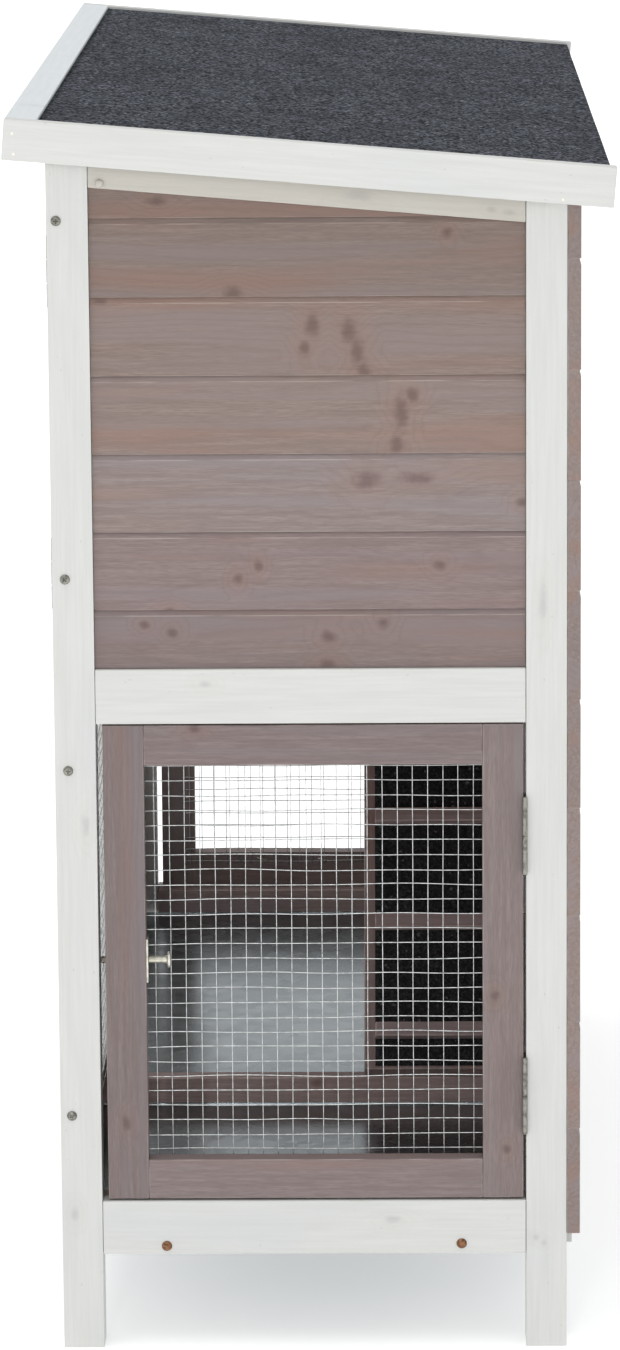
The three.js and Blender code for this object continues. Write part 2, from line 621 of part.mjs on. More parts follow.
const ROOF_END = ROOF_LENGTH / 2;
const INSIDE_FASCIAS = [-ROOF_END + FASCIA_THICK + FIT, ROOF_END - FASCIA_THICK - FIT];
const DECK_RUN = [FRONT_RAIL_WIDTH + FIT, ROOF_RUN - DECK_BACK_INSET];
const DECK_TOP = -(FELT_DROP + FELT_THICK + DECK_GAP);
const DECK_FOOT = DECK_TOP - DECK_THICK;
roof.add(
  board('roof_right_fascia', 'whitePaint', [ROOF_END - FASCIA_THICK, ROOF_END], [0, ROOF_RUN],
    [-FASCIA_HEIGHT, 0]),
  board('roof_left_fascia', 'whitePaint', [-ROOF_END, -ROOF_END + FASCIA_THICK], [0, ROOF_RUN],
    [-FASCIA_HEIGHT, 0]),
  board('roof_front_rail', 'whitePaint', INSIDE_FASCIAS, [0, FRONT_RAIL_WIDTH], [-FASCIA_HEIGHT, 0]),
  board('roof_deck', 'deckBoard', INSIDE_FASCIAS, DECK_RUN, [DECK_FOOT, DECK_TOP]),
  board('roof_felt', 'felt', INSIDE_FASCIAS, DECK_RUN, [-FELT_DROP - FELT_THICK, -FELT_DROP]),
  board('roof_back_batten', 'whitePaint', INSIDE_FASCIAS, ROOF_BATTEN_RUN,
    [DECK_FOOT - FIT - ROOF_BATTEN_HEIGHT, DECK_FOOT - FIT]),
);

// ---------------------------------------------------------------- ramp

// Inside this group X runs down the ramp from its hinge edge and Z is square to its top face.
const ramp = new THREE.Group();
ramp.position.set(RAMP_TOP_X, HATCH_Y + RAMP_WIDTH / 2, RAMP_TOP_Z);
ramp.rotation.y = RAMP_ANGLE;

const rampBoard = block([0, RAMP_LENGTH], spanAbout(0, RAMP_WIDTH), [-RAMP_THICK, 0]);
const CLEAT_Y = [-RAMP_WIDTH / 2 + RAMP_MARGIN, RAMP_WIDTH / 2];
const cleats = [];
for (let up = CLEAT_FIRST; up < RAMP_LENGTH - CLEAT_LAST; up += CLEAT_PITCH) {
  cleats.push(block(spanAbout(RAMP_LENGTH - up, CLEAT_WIDTH), CLEAT_Y, [-SLACK, CLEAT_HEIGHT]));
}
ramp.add(named('ramp', 'brownStain', join(rampBoard, ...cleats)));

// ---------------------------------------------------------------- trays

const TRAY_Z = FRONT_SILL[1] + FIT;
const TRAY_Y = [FRONT_FACE + PANEL_GAP, BACK_FACE - TRAY_BACK_GAP];

function tray(name, [x0, x1]) {
  const [y0, y1] = TRAY_Y;
  const outer = block([x0, x1], [y0, y1], [TRAY_Z, TRAY_Z + TRAY_LIP]);
  const open = TRAY_Z + TRAY_LIP + SLACK;
  const hollow = block(inset([x0, x1], TRAY_SHEET), inset([y0, y1], TRAY_SHEET),
    [TRAY_Z + TRAY_SHEET, open]);
  const aboveWalls = block(inset([x0, x1], -SLACK), [y0 + TRAY_SHEET, y1 + SLACK],
    [TRAY_Z + TRAY_WALL, open]);
  return named(name, 'galvanised', cut(outer, hollow, aboveWalls));
}

const TRAY_END = INSIDE_RAILS - BATTEN_WIDTH - FIT;
const [MIDDLE_LEFT, MIDDLE_RIGHT] = MIDDLE_BATTEN_SPAN;
const trays = new THREE.Group();
trays.add(
  tray('tray_large', [-TRAY_END, MIDDLE_LEFT - FIT]),
  tray('tray_small', [MIDDLE_RIGHT + FIT, TRAY_END]),
);

// ---------------------------------------------------------------- the hutch

const group = new THREE.Group();
group.add(frame, endDoor, boltGroup, meshDoor, nestDoor, turnButton, roof, ramp, trays);

export default group;
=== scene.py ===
"""Looks of the rabbit hutch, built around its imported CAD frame. Metres, +Z up, the front at -Y."""

import json
import math
import random

import bmesh
import bpy
from mathutils import Matrix, Vector, noise


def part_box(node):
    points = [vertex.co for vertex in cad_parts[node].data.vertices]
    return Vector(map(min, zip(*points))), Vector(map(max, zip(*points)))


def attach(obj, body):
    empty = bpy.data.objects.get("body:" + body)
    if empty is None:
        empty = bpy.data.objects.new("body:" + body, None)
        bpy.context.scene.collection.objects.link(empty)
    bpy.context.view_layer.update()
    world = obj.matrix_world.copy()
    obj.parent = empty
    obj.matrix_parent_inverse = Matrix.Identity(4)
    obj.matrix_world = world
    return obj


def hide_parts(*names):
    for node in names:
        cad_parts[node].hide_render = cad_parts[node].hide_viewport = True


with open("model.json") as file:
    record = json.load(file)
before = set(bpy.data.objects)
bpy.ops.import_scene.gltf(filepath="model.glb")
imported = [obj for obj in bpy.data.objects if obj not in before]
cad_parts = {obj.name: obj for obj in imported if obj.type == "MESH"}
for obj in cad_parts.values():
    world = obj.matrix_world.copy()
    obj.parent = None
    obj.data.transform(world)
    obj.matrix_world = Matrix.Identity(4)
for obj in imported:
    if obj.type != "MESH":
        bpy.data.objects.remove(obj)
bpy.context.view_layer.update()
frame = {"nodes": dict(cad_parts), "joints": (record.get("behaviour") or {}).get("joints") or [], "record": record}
NODES = frame["nodes"]
BODIES = {n: body for body, nodes in frame["record"]["behaviour"]["bodies"].items() for n in nodes}
SLOTS = {part["node"]: part["material_slot"] for part in frame["record"]["subparts"]}
JOINTS = {joint["name"]: joint for joint in frame["joints"]}
MM = 0.001
X, Y, Z = 0, 1, 2


def spans(node):
    """The node's (low, high) along X, Y and Z."""
    low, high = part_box(node)
    return list(zip(low, high))


# ---------------------------------------------------------------- shader graphs


def tone(red, green, blue):
    """A colour given as it should look on screen, from 0 to 255, as a shader colour."""

    def channel(value):
        share = value / 255
        return share / 12.92 if share <= 0.04045 else ((share + 0.055) / 1.055) ** 2.4

    return channel(red), channel(green), channel(blue), 1


class Graph:
    """A material's node tree, with one short call for each kind of node."""

    def __init__(self, name, **fixed):
        self.material = bpy.data.materials.new(name)
        self.material.use_nodes = True
        self.tree = self.material.node_tree
        self.shader = self.tree.nodes["Principled BSDF"]
        for socket, value in fixed.items():
            self.shader.inputs[socket.replace("_", " ")].default_value = value

    def feed(self, socket, value):
        """Links a socket to another node's output, or sets it to a plain value."""
        if isinstance(value, bpy.types.NodeSocket):
            self.tree.links.new(value, socket)
        else:
            socket.default_value = value

    def node(self, kind, inputs, **settings):
        made = self.tree.nodes.new("ShaderNode" + kind)
        for key, value in settings.items():
            setattr(made, key, value)
        for key, value in inputs.items():
            self.feed(made.inputs[key], value)
        return made

    def attribute(self, name, output="Vector"):
        return self.node("Attribute", {}, attribute_name=name).outputs[output]

    def place(self):
        """The point's place in the row frame at rest."""
        return self.node("TexCoord", {}).outputs["Object"]

    def math(self, operation, a, b=0.0):
        return self.node("Math", {0: a, 1: b}, operation=operation).outputs[0]

    def stretch(self, vector, x, y, z):
        return self.node("VectorMath", {0: vector, 1: (x, y, z)}, operation="MULTIPLY").outputs[0]

    def length(self, vector):
        return self.node("VectorMath", {0: vector}, operation="LENGTH").outputs["Value"]

    def noise(self, vector, scale=1.0, detail=2.0, roughness=0.5):
        inputs = {"Vector": vector, "Scale": scale, "Detail": detail, "Roughness": roughness}
        return self.node("TexNoise", inputs).outputs["Fac"]

    def cells(self, vector, scale, output="Color"):
        return self.node("TexVoronoi", {"Vector": vector, "Scale": scale}).outputs[output]

    def step(self, value, low, high, to_low=0.0, to_high=1.0):
        """Runs smoothly from to_low to to_high as the value goes from low to high."""
        inputs = {"Value": value, "From Min": low, "From Max": high, "To Min": to_low, "To Max": to_high}
        return self.node("MapRange", inputs, interpolation_type="SMOOTHSTEP").outputs["Result"]

    def mix(self, factor, a, b, blend="MIX"):
        made = self.node("Mix", {0: factor, 6: a, 7: b}, data_type="RGBA", blend_type=blend)
        return made.outputs[2]

    def tinge(self, colour, mask, share, other):
        """Takes the colour a share of the way to another wherever the mask is 1."""
        return self.mix(self.math("MULTIPLY", mask, share), colour, other)

    def bump(self, height, distance, strength=1.0):
        inputs = {"Height": height, "Distance": distance, "Strength": strength}
        return self.node("Bump", inputs).outputs["Normal"]

    def finish(self, **outputs):
        for socket, value in outputs.items():
            self.feed(self.shader.inputs[socket.replace("_", " ")], value)
        return self.material


# ---------------------------------------------------------------- timber finishes

KNOT_SLOTS = ("knot_a", "knot_b", "knot_c", "knot_d", "knot_e", "knot_f")
KNOT_RAGGEDNESS = 1.1
RINGS_PER_M = 210


def timber_pattern(graph):
    """Streaks, year rings and knots from a board's own grain coordinates."""
    grain = graph.attribute("grain")
    wander = graph.noise(graph.stretch(grain, 4, 22, 22), detail=2)
    ragged = graph.noise(graph.stretch(grain, 130, 150, 150), detail=3, roughness=0.55)
    core, halo = 0.0, 0.0
    for slot in KNOT_SLOTS:
        distance = graph.length(graph.attribute(slot))
        away = graph.math("ADD", distance, graph.math("MULTIPLY", ragged, KNOT_RAGGEDNESS))
        core = graph.math("MAXIMUM", core, graph.step(away, 1.8, 0.7))
        halo = graph.math("MAXIMUM", halo, graph.step(away, 4.2, 1.2))
    radius = graph.length(graph.stretch(grain, 0, 1, 1))
    rings = graph.math("MULTIPLY", radius, RINGS_PER_M)
    rings = graph.math("ADD", rings, graph.math("MULTIPLY", wander, 5.0))
    rings = graph.math("ADD", rings, graph.math("MULTIPLY", halo, 2.2))
    late = graph.step(graph.math("PINGPONG", rings, 0.5), 0.24, 0.5)
    streak = graph.noise(graph.stretch(grain, 14, 340, 340), detail=4, roughness=0.6)
    fibre = graph.noise(graph.stretch(grain, 90, 1100, 1100), detail=2)
    band = graph.noise(graph.stretch(grain, 2.2, 48, 48), detail=2)
    return {
        "grain": grain, "core": core, "halo": halo, "late": late,
        "streak": streak, "fibre": fibre, "band": band,
    }


def timber_height(graph, pattern, late_share):
    """How far the fibre, the streaks and the hard late wood stand up."""
    height = graph.math("MULTIPLY", pattern["fibre"], 0.6)
    height = graph.math("ADD", height, graph.math("MULTIPLY", pattern["streak"], 0.8))
    return graph.math("ADD", height, graph.math("MULTIPLY", pattern["late"], late_share))


def worn_patches(graph, pattern, scale, low, high):
    """Uneven wear along the eased arrises."""
    worn = graph.attribute("worn", "Fac")
    patches = graph.noise(graph.stretch(pattern["grain"], *scale), detail=3)
    return graph.math("MULTIPLY", worn, graph.step(patches, low, high))


def stained_wood():
    """Thin taupe stain that lets the grain, the knots and warmer patches show through."""
    graph = Graph("stained_wood")
    pattern = timber_pattern(graph)
    streak = graph.step(pattern["streak"], 0.32, 0.7)
    colour = graph.mix(streak, tone(133, 118, 113), tone(149, 135, 130))
    colour = graph.mix(graph.step(pattern["fibre"], 0.4, 0.66, 0, 0.5), colour, tone(123, 108, 104))
    cool = graph.step(pattern["band"], 0.48, 0.66, 0, 0.6)
    colour = graph.mix(cool, colour, tone(140, 129, 129))
    patches = graph.noise(graph.stretch(pattern["grain"], 3, 34, 34), detail=3)
    patches = graph.step(patches, 0.48, 0.72, 0, 0.55)
    warmth = graph.math("MAXIMUM", patches, graph.math("MULTIPLY", pattern["halo"], 0.3))
    colour = graph.mix(warmth, colour, tone(147, 118, 105))
    colour = graph.tinge(colour, pattern["late"], 0.16, tone(117, 98, 93))
    colour = graph.tinge(colour, pattern["core"], 0.6, tone(94, 72, 69))
    rubbed = worn_patches(graph, pattern, (22, 60, 60), 0.36, 0.6)
    colour = graph.tinge(colour, rubbed, 0.6, tone(180, 168, 160))
    # The piece's tint: its own tone, and on some pieces painted light or painted shade.
    colour = graph.mix(1.0, colour, graph.attribute("tint", "Color"), "MULTIPLY")
    normal = graph.bump(timber_height(graph, pattern, 0.25), 0.35 * MM, 0.55)
    roughness = graph.step(pattern["streak"], 0.3, 0.7, 0.62, 0.78)
    return graph.finish(Base_Color=colour, Roughness=roughness, Normal=normal)


def white_paint():
    """One satin coat on softwood: the grain stands up through it and the knots grey it."""
    graph = Graph("white_paint")
    pattern = timber_pattern(graph)
    streak = graph.step(pattern["streak"], 0.3, 0.7)
    colour = graph.mix(streak, tone(209, 209, 205), tone(215, 215, 212))
    blotch = graph.noise(graph.stretch(pattern["grain"], 6, 18, 18), detail=3)
    colour = graph.mix(graph.step(blotch, 0.5, 0.75, 0, 0.5), colour, tone(204, 206, 207))
    colour = graph.tinge(colour, pattern["late"], 0.1, tone(194, 195, 191))
    colour = graph.tinge(colour, pattern["halo"], 0.16, tone(194, 192, 180))
    colour = graph.tinge(colour, pattern["core"], 0.34, tone(160, 164, 168))
    specks = graph.cells(graph.stretch(pattern["grain"], 45, 90, 90), 1.0, "Distance")
    specks = graph.step(specks, 0.075, 0.04, 0, 0.35)
    colour = graph.mix(specks, colour, tone(176, 174, 168))
    scuff = worn_patches(graph, pattern, (35, 60, 60), 0.5, 0.66)
    colour = graph.tinge(colour, scuff, 0.45, tone(196, 192, 182))
    # The piece's tint: its own tone, and on some pieces painted light or painted shade.
    colour = graph.mix(1.0, colour, graph.attribute("tint", "Color"), "MULTIPLY")
    normal = graph.bump(timber_height(graph, pattern, 0.3), 0.22 * MM, 0.45)
    roughness = graph.step(pattern["streak"], 0.3, 0.7, 0.42, 0.56)
    return graph.finish(Base_Color=colour, Roughness=roughness, Normal=normal)


def deck_board():
    """Bare oriented-strand board: pale flakes lying every way."""
    graph = Graph("deck_board")
    place = graph.place()
    flakes = graph.cells(graph.stretch(place, 1, 1, 6), 55.0, "Color")
    tilt = graph.node("SeparateColor", {0: flakes}).outputs
    colour = graph.mix(tilt[0], tone(168, 138, 99), tone(209, 182, 142))
    colour = graph.mix(graph.step(tilt[1], 0.8, 0.95, 0, 0.6), colour, tone(131, 98, 64))
    fibre = graph.noise(graph.stretch(place, 90, 900, 300), detail=2)
    colour = graph.mix(graph.step(fibre, 0.45, 0.7, 0, 0.3), colour, tone(150, 118, 80))
    normal = graph.bump(graph.math("ADD", tilt[2], fibre), 0.5 * MM, 0.5)
    roughness = graph.step(fibre, 0, 1, 0.75, 0.9)
    return graph.finish(Base_Color=colour, Roughness=roughness, Normal=normal)


# ---------------------------------------------------------------- felt, metal and floor finishes

GRANULES_PER_M = 430.0
FLOOR_GLOW = 0.36


def granular_felt(name, dark, light, fleck, share):
    """Bitumen felt faced with clusters of mineral granules, two or three millimetres across."""
    graph = Graph(name)
    place = graph.place()
    grain = graph.node("SeparateColor", {0: graph.cells(place, GRANULES_PER_M)}).outputs
    colour = graph.mix(graph.step(grain[0], 0.35, 0.85), dark, light)
    patch = graph.noise(place, 14.0, 3)
    colour = graph.mix(graph.step(patch, 0.42, 0.66, 0, 0.3), colour, dark)
    colour = graph.mix(graph.step(grain[1], 1 - share, 1 - share / 3), colour, fleck)
    height = graph.cells(place, GRANULES_PER_M, "Distance")
    height = graph.math("ADD", height, graph.math("MULTIPLY", graph.noise(place, 60.0, 2), 0.5))
    normal = graph.bump(height, 1.2 * MM, 0.8)
    roughness = graph.step(grain[2], 0, 1, 0.82, 0.97)
    return graph.finish(Base_Color=colour, Roughness=roughness, Normal=normal)


def galvanised_sheet():
    """Zinc-dipped sheet, faintly spangled, and smooth enough to mirror what stands round it."""
    graph = Graph("galvanised_sheet", Metallic=1.0)
    place = graph.place()
    flake = graph.node("SeparateColor", {0: graph.cells(place, 75.0)}).outputs
    colour = graph.mix(flake[0], tone(148, 157, 160), tone(164, 171, 174))
    smear = graph.noise(graph.stretch(place, 6, 1.5, 6), 1.0, 3)
    colour = graph.mix(graph.step(smear, 0.45, 0.7, 0, 0.4), colour, tone(138, 148, 152))
    roughness = graph.step(flake[1], 0, 1, 0.2, 0.25)
    roughness = graph.math("ADD", roughness, graph.step(smear, 0.4, 0.7, 0, 0.05))
    normal = graph.bump(graph.noise(place, 9.0, 2), 0.7 * MM, 0.25)
    return graph.finish(Base_Color=colour, Roughness=roughness, Normal=normal)


def plated_metal(name, base, shade, rough, metallic=1.0, scale=220.0):
    """Plated or galvanised small metal: cloudy tone and uneven polish."""
    graph = Graph(name, Metallic=metallic)
    place = graph.place()
    cloud = graph.noise(place, scale, 3)
    colour = graph.mix(graph.step(cloud, 0.4, 0.68), base, shade)
    normal = graph.bump(graph.noise(place, scale * 5, 2), 0.08 * MM, 0.5)
    roughness = graph.step(cloud, 0.3, 0.7, *rough)
    return graph.finish(Base_Color=colour, Roughness=roughness, Normal=normal)


def studio_floor():
    """A pale floor lit a little from below, as a light table is."""
    graph = Graph("studio_floor")
    mottle = graph.noise(graph.place(), 3.0, 3)
    colour = graph.mix(mottle, (0.93, 0.93, 0.93, 1), (0.95, 0.95, 0.95, 1))
    roughness = graph.step(mottle, 0, 1, 0.85, 0.95)
    glow = graph.mix(mottle, (0.98, 0.99, 1, 1), (1, 1, 1, 1))
    return graph.finish(
        Base_Color=colour, Roughness=roughness, Emission_Color=glow, Emission_Strength=FLOOR_GLOW,
    )


STAIN = stained_wood()
PAINT = white_paint()
DECK = deck_board()
ROOF_FELT = granular_felt(
    "roof_felt_granules", tone(30, 34, 43), tone(140, 145, 157), tone(205, 210, 218), 0.012,
)
RAMP_FELT = granular_felt(
    "ramp_felt_granules", tone(20, 20, 22), tone(48, 48, 50), tone(96, 96, 98), 0.02,
)
SHEET = galvanised_sheet()
WIRE = plated_metal("galvanised_wire", tone(226, 228, 227), tone(196, 198, 198), (0.3, 0.48))
ZINC = plated_metal("zinc_plate", tone(230, 228, 214), tone(204, 201, 188), (0.36, 0.5))
HINGE = plated_metal("hinge_steel", tone(150, 149, 141), tone(112, 111, 104), (0.3, 0.5))
BRONZE = plated_metal(
    "browned_screw", tone(150, 108, 78), tone(92, 62, 46), (0.35, 0.55), metallic=0.7, scale=400.0,
)
FINISHES = {"brown_stain": STAIN, "white_paint": PAINT}

# ---------------------------------------------------------------- mesh helpers

KNOT_SPACING = 0.22
KNOT_DEPTH_SHARE = 12
FAR_FROM_KNOTS = Vector((50, 50, 50))


def add_object(name, data):
    made = bpy.data.objects.new(name, data)
    bpy.context.scene.collection.objects.link(made)
    return made


def mesh_object(name, bm, *materials):
    """An object from a finished bmesh, which is freed."""
    mesh = bpy.data.meshes.new(name)
    bm.to_mesh(mesh)
    bm.free()
    for material in materials:
        mesh.materials.append(material)
    return add_object(name, mesh)


def add_piece(name, bm, material, body, stands_for=()):
    """A visible piece that moves with a body and stands for the CAD nodes given."""
    piece = mesh_object(name, bm, material)
    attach(piece, body)
    if stands_for:
        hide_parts(*stands_for)
    return piece


def refinish(node, material):
    """Gives a carried-over CAD node its finish."""
    NODES[node].data.materials.clear()
    NODES[node].data.materials.append(material)


def from_node(node):
    """The CAD node's solid with its flat faces whole again."""
    bm = bmesh.new()
    bm.from_mesh(NODES[node].data)
    bmesh.ops.remove_doubles(bm, verts=bm.verts, dist=0.002 * MM)
    bmesh.ops.dissolve_limit(bm, angle_limit=math.radians(1), verts=bm.verts, edges=bm.edges)
    return bm


def block(*extents):
    """A straight block between (low, high) along X, Y and Z."""
    bm = bmesh.new()
    corners = [bm.verts.new((x, y, z)) for x in extents[X] for y in extents[Y] for z in extents[Z]]
    sides = ((0, 1, 3, 2), (4, 6, 7, 5), (0, 4, 5, 1), (2, 3, 7, 6), (0, 2, 6, 4), (1, 5, 7, 3))
    for side in sides:
        bm.faces.new([corners[k] for k in side])
    return bm


def ease_edges(bm, width):
    """Rounds the arrises and marks the new faces as worn."""
    worn = bm.loops.layers.float.new("worn")
    sharp = [e for e in bm.edges if e.is_manifold and e.calc_face_angle(0) > math.radians(20)]
    made = bmesh.ops.bevel(
        bm, geom=sharp, offset=width, offset_type="OFFSET", segments=2, profile=0.5,
        affect="EDGES", clamp_overlap=True,
    )
    for face in made["faces"]:
        face.smooth = True
        for loop in face.loops:
            loop[worn] = 1.0


def extent(points, direction):
    reach = [p.dot(direction) for p in points]
    return max(reach) - min(reach)


def longest(bm):
    """The row axis along which a piece is longest."""
    axes = (Vector((1, 0, 0)), Vector((0, 1, 0)), Vector((0, 0, 1)))
    points = [v.co for v in bm.verts]
    return max(axes, key=lambda a: extent(points, a))


def grain_frame(bm, along):
    """Unit vectors along the grain, across the wider face and through the thickness."""
    points = [v.co for v in bm.verts]
    square = [a - along * a.dot(along) for a in (Vector((0, 1, 0)), Vector((0, 0, 1)), Vector((1, 0, 0)))]
    square = [a.normalized() for a in square if a.length > 0.5]
    across = max(square, key=lambda a: extent(points, a))
    return along, across, along.cross(across)


def chance_knots(draw, points, middle, u, v):
    """A few small knots at random on a board's face: (centre, half length, half width)."""
    long_side, wide_side = extent(points, u), extent(points, v)
    count = min(len(KNOT_SLOTS), int(draw.uniform(0.4, 1.4) * long_side / KNOT_SPACING))
    knots = []
    for _ in range(count):
        centre = middle + u * draw.uniform(-0.48, 0.48) * long_side
        centre = centre + v * draw.uniform(-0.45, 0.45) * wide_side
        size = draw.uniform(2, 5.5) * MM
        knots.append((centre, size * draw.uniform(1, 1.6), size))
    return knots


def knot_place(frame_of, point, knot):
    """Where a point lies about a knot's centre, in the knot's own half sizes."""
    if knot is None:
        return FAR_FROM_KNOTS
    centre, half_length, half_width = knot
    local = frame_of @ (point - centre)
    deep = half_width * KNOT_DEPTH_SHARE
    return Vector((local.x / half_length, local.y / half_width, local.z / deep))


def write_grain(bm, name, along, knots, tint):
    """Stores the board's grain coordinates, its knots and its tint for the timber finishes."""
    draw = random.Random(name)
    u, v, w = grain_frame(bm, along)
    middle = sum((p.co for p in bm.verts), Vector()) / len(bm.verts)
    pith = Vector((
        draw.uniform(2, 40), draw.uniform(-0.03, 0.03), draw.choice((-1, 1)) * draw.uniform(0.015, 0.05),
    ))
    if knots is None:
        knots = chance_knots(draw, [p.co for p in bm.verts], middle, u, v)
    grain = bm.verts.layers.float_vector.new("grain")
    tints = bm.verts.layers.float_color.new("tint")
    knot_layers = [bm.verts.layers.float_vector.new(slot) for slot in KNOT_SLOTS]
    frame_of = Matrix((u, v, w))
    for vert in bm.verts:
        local = frame_of @ (vert.co - middle)
        vert[grain] = local + pith
        vert[tints] = (*tint, 1)
        for layer, knot in zip(knot_layers, list(knots) + [None] * len(KNOT_SLOTS)):
            vert[layer] = knot_place(frame_of, vert.co, knot)


def timber(name, bm, node, ease=0.9 * MM, along=None, knots=None, tint=(1, 1, 1)):
    """A finished wooden piece that stands for a CAD node, or for a part of one."""
    along = (along or longest(bm)).normalized()
    ease_edges(bm, ease)
    write_grain(bm, name, along, knots, tint)
    return add_piece(name, bm, FINISHES[SLOTS[node]], BODIES[node], [node])


def steps(span, size):
    """Evenly spaced places from one end of a span to the other, about a size apart."""
    low, high = span
    count = max(2, round((high - low) / size))
    return [low + (high - low) * i / count for i in range(count + 1)]


def join_rows(bm, rows, round_and_round=False, smooth=True):
    """Faces between neighbouring rows of vertices."""
    for one, two in zip(rows, rows[1:]):
        for k in range(len(one) if round_and_round else len(one) - 1):
            after = (k + 1) % len(one)
            bm.faces.new((one[k], one[after], two[after], two[k])).smooth = smooth


def ring(bm, centre, radius, side, up, sides):
    """A circle of vertices in the plane of two unit vectors."""
    turns = [2 * math.pi * k / sides for k in range(sides)]
    return [bm.verts.new(centre + radius * (math.cos(t) * side + math.sin(t) * up)) for t in turns]


def tube(bm, points, radius, sides):
    """A round bar along a line of points."""
    rings = []
    for i, point in enumerate(points):
        ahead = points[min(i + 1, len(points) - 1)] - points[max(i - 1, 0)]
        ahead.normalize()
        side = side - ahead * side.dot(ahead) if i else ahead.orthogonal()
        side.normalize()
        rings.append(ring(bm, point, radius, side, ahead.cross(side), sides))
    join_rows(bm, rings, round_and_round=True)
    bm.faces.new(rings[0][::-1])
    bm.faces.new(rings[-1])


def lathe(bm, profile, origin, axis, sides=24):
    """Turns (distance along the axis, radius) points round the axis. The ends close on it."""
    axis = axis.normalized()
    side = axis.orthogonal().normalized()
    up = axis.cross(side)
    rings = []
    for along, radius in profile:
        centre = origin + axis * along
        closed = radius == 0
        rings.append([bm.verts.new(centre)] if closed else ring(bm, centre, radius, side, up, sides))
    for one, two in zip(rings, rings[1:]):
        for k in range(sides):
            after = (k + 1) % sides
            corners = [one[k % len(one)], one[after % len(one)], two[after % len(two)], two[k % len(two)]]
            unique = list(dict.fromkeys(corners))
            if len(unique) > 2:
                bm.faces.new(unique).smooth = True


def domed(radius, height, sink, turn):
    """A round head's profile for `lathe`, from just below the surface to its crown."""
    angles = [math.radians(a) for a in range(0, 90, turn)]
    rise = [(height * math.sin(a), radius * math.cos(a)) for a in angles]
    return [(-sink, 0), (-sink, radius), *rise, (height, 0)]


# ---------------------------------------------------------------- plain timber

# Painted shade: multiplier for the paint of the top rails and the pegs on them, darker for the shadow of the roof
# overhang and a little warmer.
OVERHANG_SHADE_WHITE = (0.83, 0.79, 0.74)
ROOF_PITCH = math.radians(4.86)
DOWN_THE_ROOF = Vector((0, math.cos(ROOF_PITCH), -math.sin(ROOF_PITCH)))

right_face = spans("post_front_right")[X][1]


def on_right_face(y, z, half_length, half_width):
    """A knot on the right end, its place and half sizes given in millimetres."""
    return Vector((right_face, y * MM, z * MM)), half_length * MM, half_width * MM


KNOTS = {
    "post_front_right": [on_right_face(-190, 452, 9, 4), on_right_face(-204, 118, 7, 4)],
    "post_back_right": [
        on_right_face(184, 96, 3, 3), on_right_face(191, 91, 3, 3), on_right_face(190, 640, 16, 4),
    ],
    "right_end_top_rail": [
        on_right_face(40, 977, 14, 5), on_right_face(163, 962, 6, 3), on_right_face(148, 965, 5, 2.5),
    ],
    "right_end_bottom_rail": [on_right_face(64, 112, 8, 4)],
    "right_end_mid_rail": [on_right_face(-90, 572, 6, 3)],
    "end_door_hinge_stile": [on_right_face(150, 305, 6, 4.5), on_right_face(160, 172, 5, 4)],
    "end_door_latch_stile": [on_right_face(-160, 196, 7, 4)],
    "end_door_top_rail": [on_right_face(-99, 534, 7, 4)],
    "end_door_bottom_rail": [],
    "roof_right_fascia": [],
}
# Colour multipliers by piece. The end door's pieces are darker and a little bluer, and the right fascia a touch
# lighter. The top rails carry painted shade; the roof front rail and the floor battens carry painted light.
PIECE_TONES_AND_PAINTED_LIGHT = {
    "right_end_top_rail": OVERHANG_SHADE_WHITE,
    "left_end_top_rail": OVERHANG_SHADE_WHITE,
    # Painted light: the floor battens are brightened past the stain's own colour, for the light that reaches into
    # the run.
    "floor_batten_left": (1.55, 1.5, 1.52),
    "floor_batten_middle": (1.6, 1.52, 1.56),
    "floor_batten_right": (1.1, 1.08, 1.08),
    "end_door_latch_stile": (0.79, 0.79, 0.83),
    "end_door_hinge_stile": (0.87, 0.87, 0.9),
    "end_door_top_rail": (0.84, 0.83, 0.87),
    "end_door_bottom_rail": (0.88, 0.88, 0.93),
    # Painted light: the roof front rail is lighter and bluer, as the sky lights its top.
    "roof_front_rail": (1.12, 1.17, 1.24),
    "roof_right_fascia": (1.02, 1.02, 1.02),
}
SLOPED = ("right_end_top_rail", "left_end_top_rail", "roof_right_fascia", "roof_left_fascia")
PLAIN_TIMBER = [
    node for node in NODES
    if SLOTS[node] in FINISHES
    and not node.endswith(("cladding", "_frame"))
    and node not in ("nest_door", "ramp", "turn_button")
]
for node in sorted(PLAIN_TIMBER):
    along = DOWN_THE_ROOF if node in SLOPED else None
    tint = PIECE_TONES_AND_PAINTED_LIGHT.get(node, (1, 1, 1))
    timber(f"{node}_timber", from_node(node), node, along=along, knots=KNOTS.get(node), tint=tint)

# ---------------------------------------------------------------- cladding boards

SEAM_DEPTH = 2 * MM
TINT_SPREAD = 0.05
# From the bottom board up: each knot's place and half sizes, as on_right_face takes them.
END_BOARD_KNOTS = [
    [(13, 611, 7, 6), (12, 588, 8, 5), (58, 622, 6, 6), (-116, 614.5, 6, 5), (-139, 621.5, 5, 4)],
    [(105, 671, 6, 5), (-44.7, 671, 4.5, 6), (-61.7, 660, 5, 6), (-118, 632, 6, 5)],
    [(46, 742, 13, 10), (173, 723, 6, 5), (86, 743, 17, 6)],
    [(74, 797, 7, 17), (70, 771, 7, 10), (83, 812, 6, 7)],
    [
        (1, 870, 7, 13), (-5, 851, 6, 8), (31, 866, 8, 12),
        (38, 848, 7, 14), (43, 832, 7, 11), (-172, 890.5, 7, 3),
    ],
    [(-63.5, 896, 10, 8), (112, 946, 5, 5)],
    [(-125, 973, 9, 5)],
]
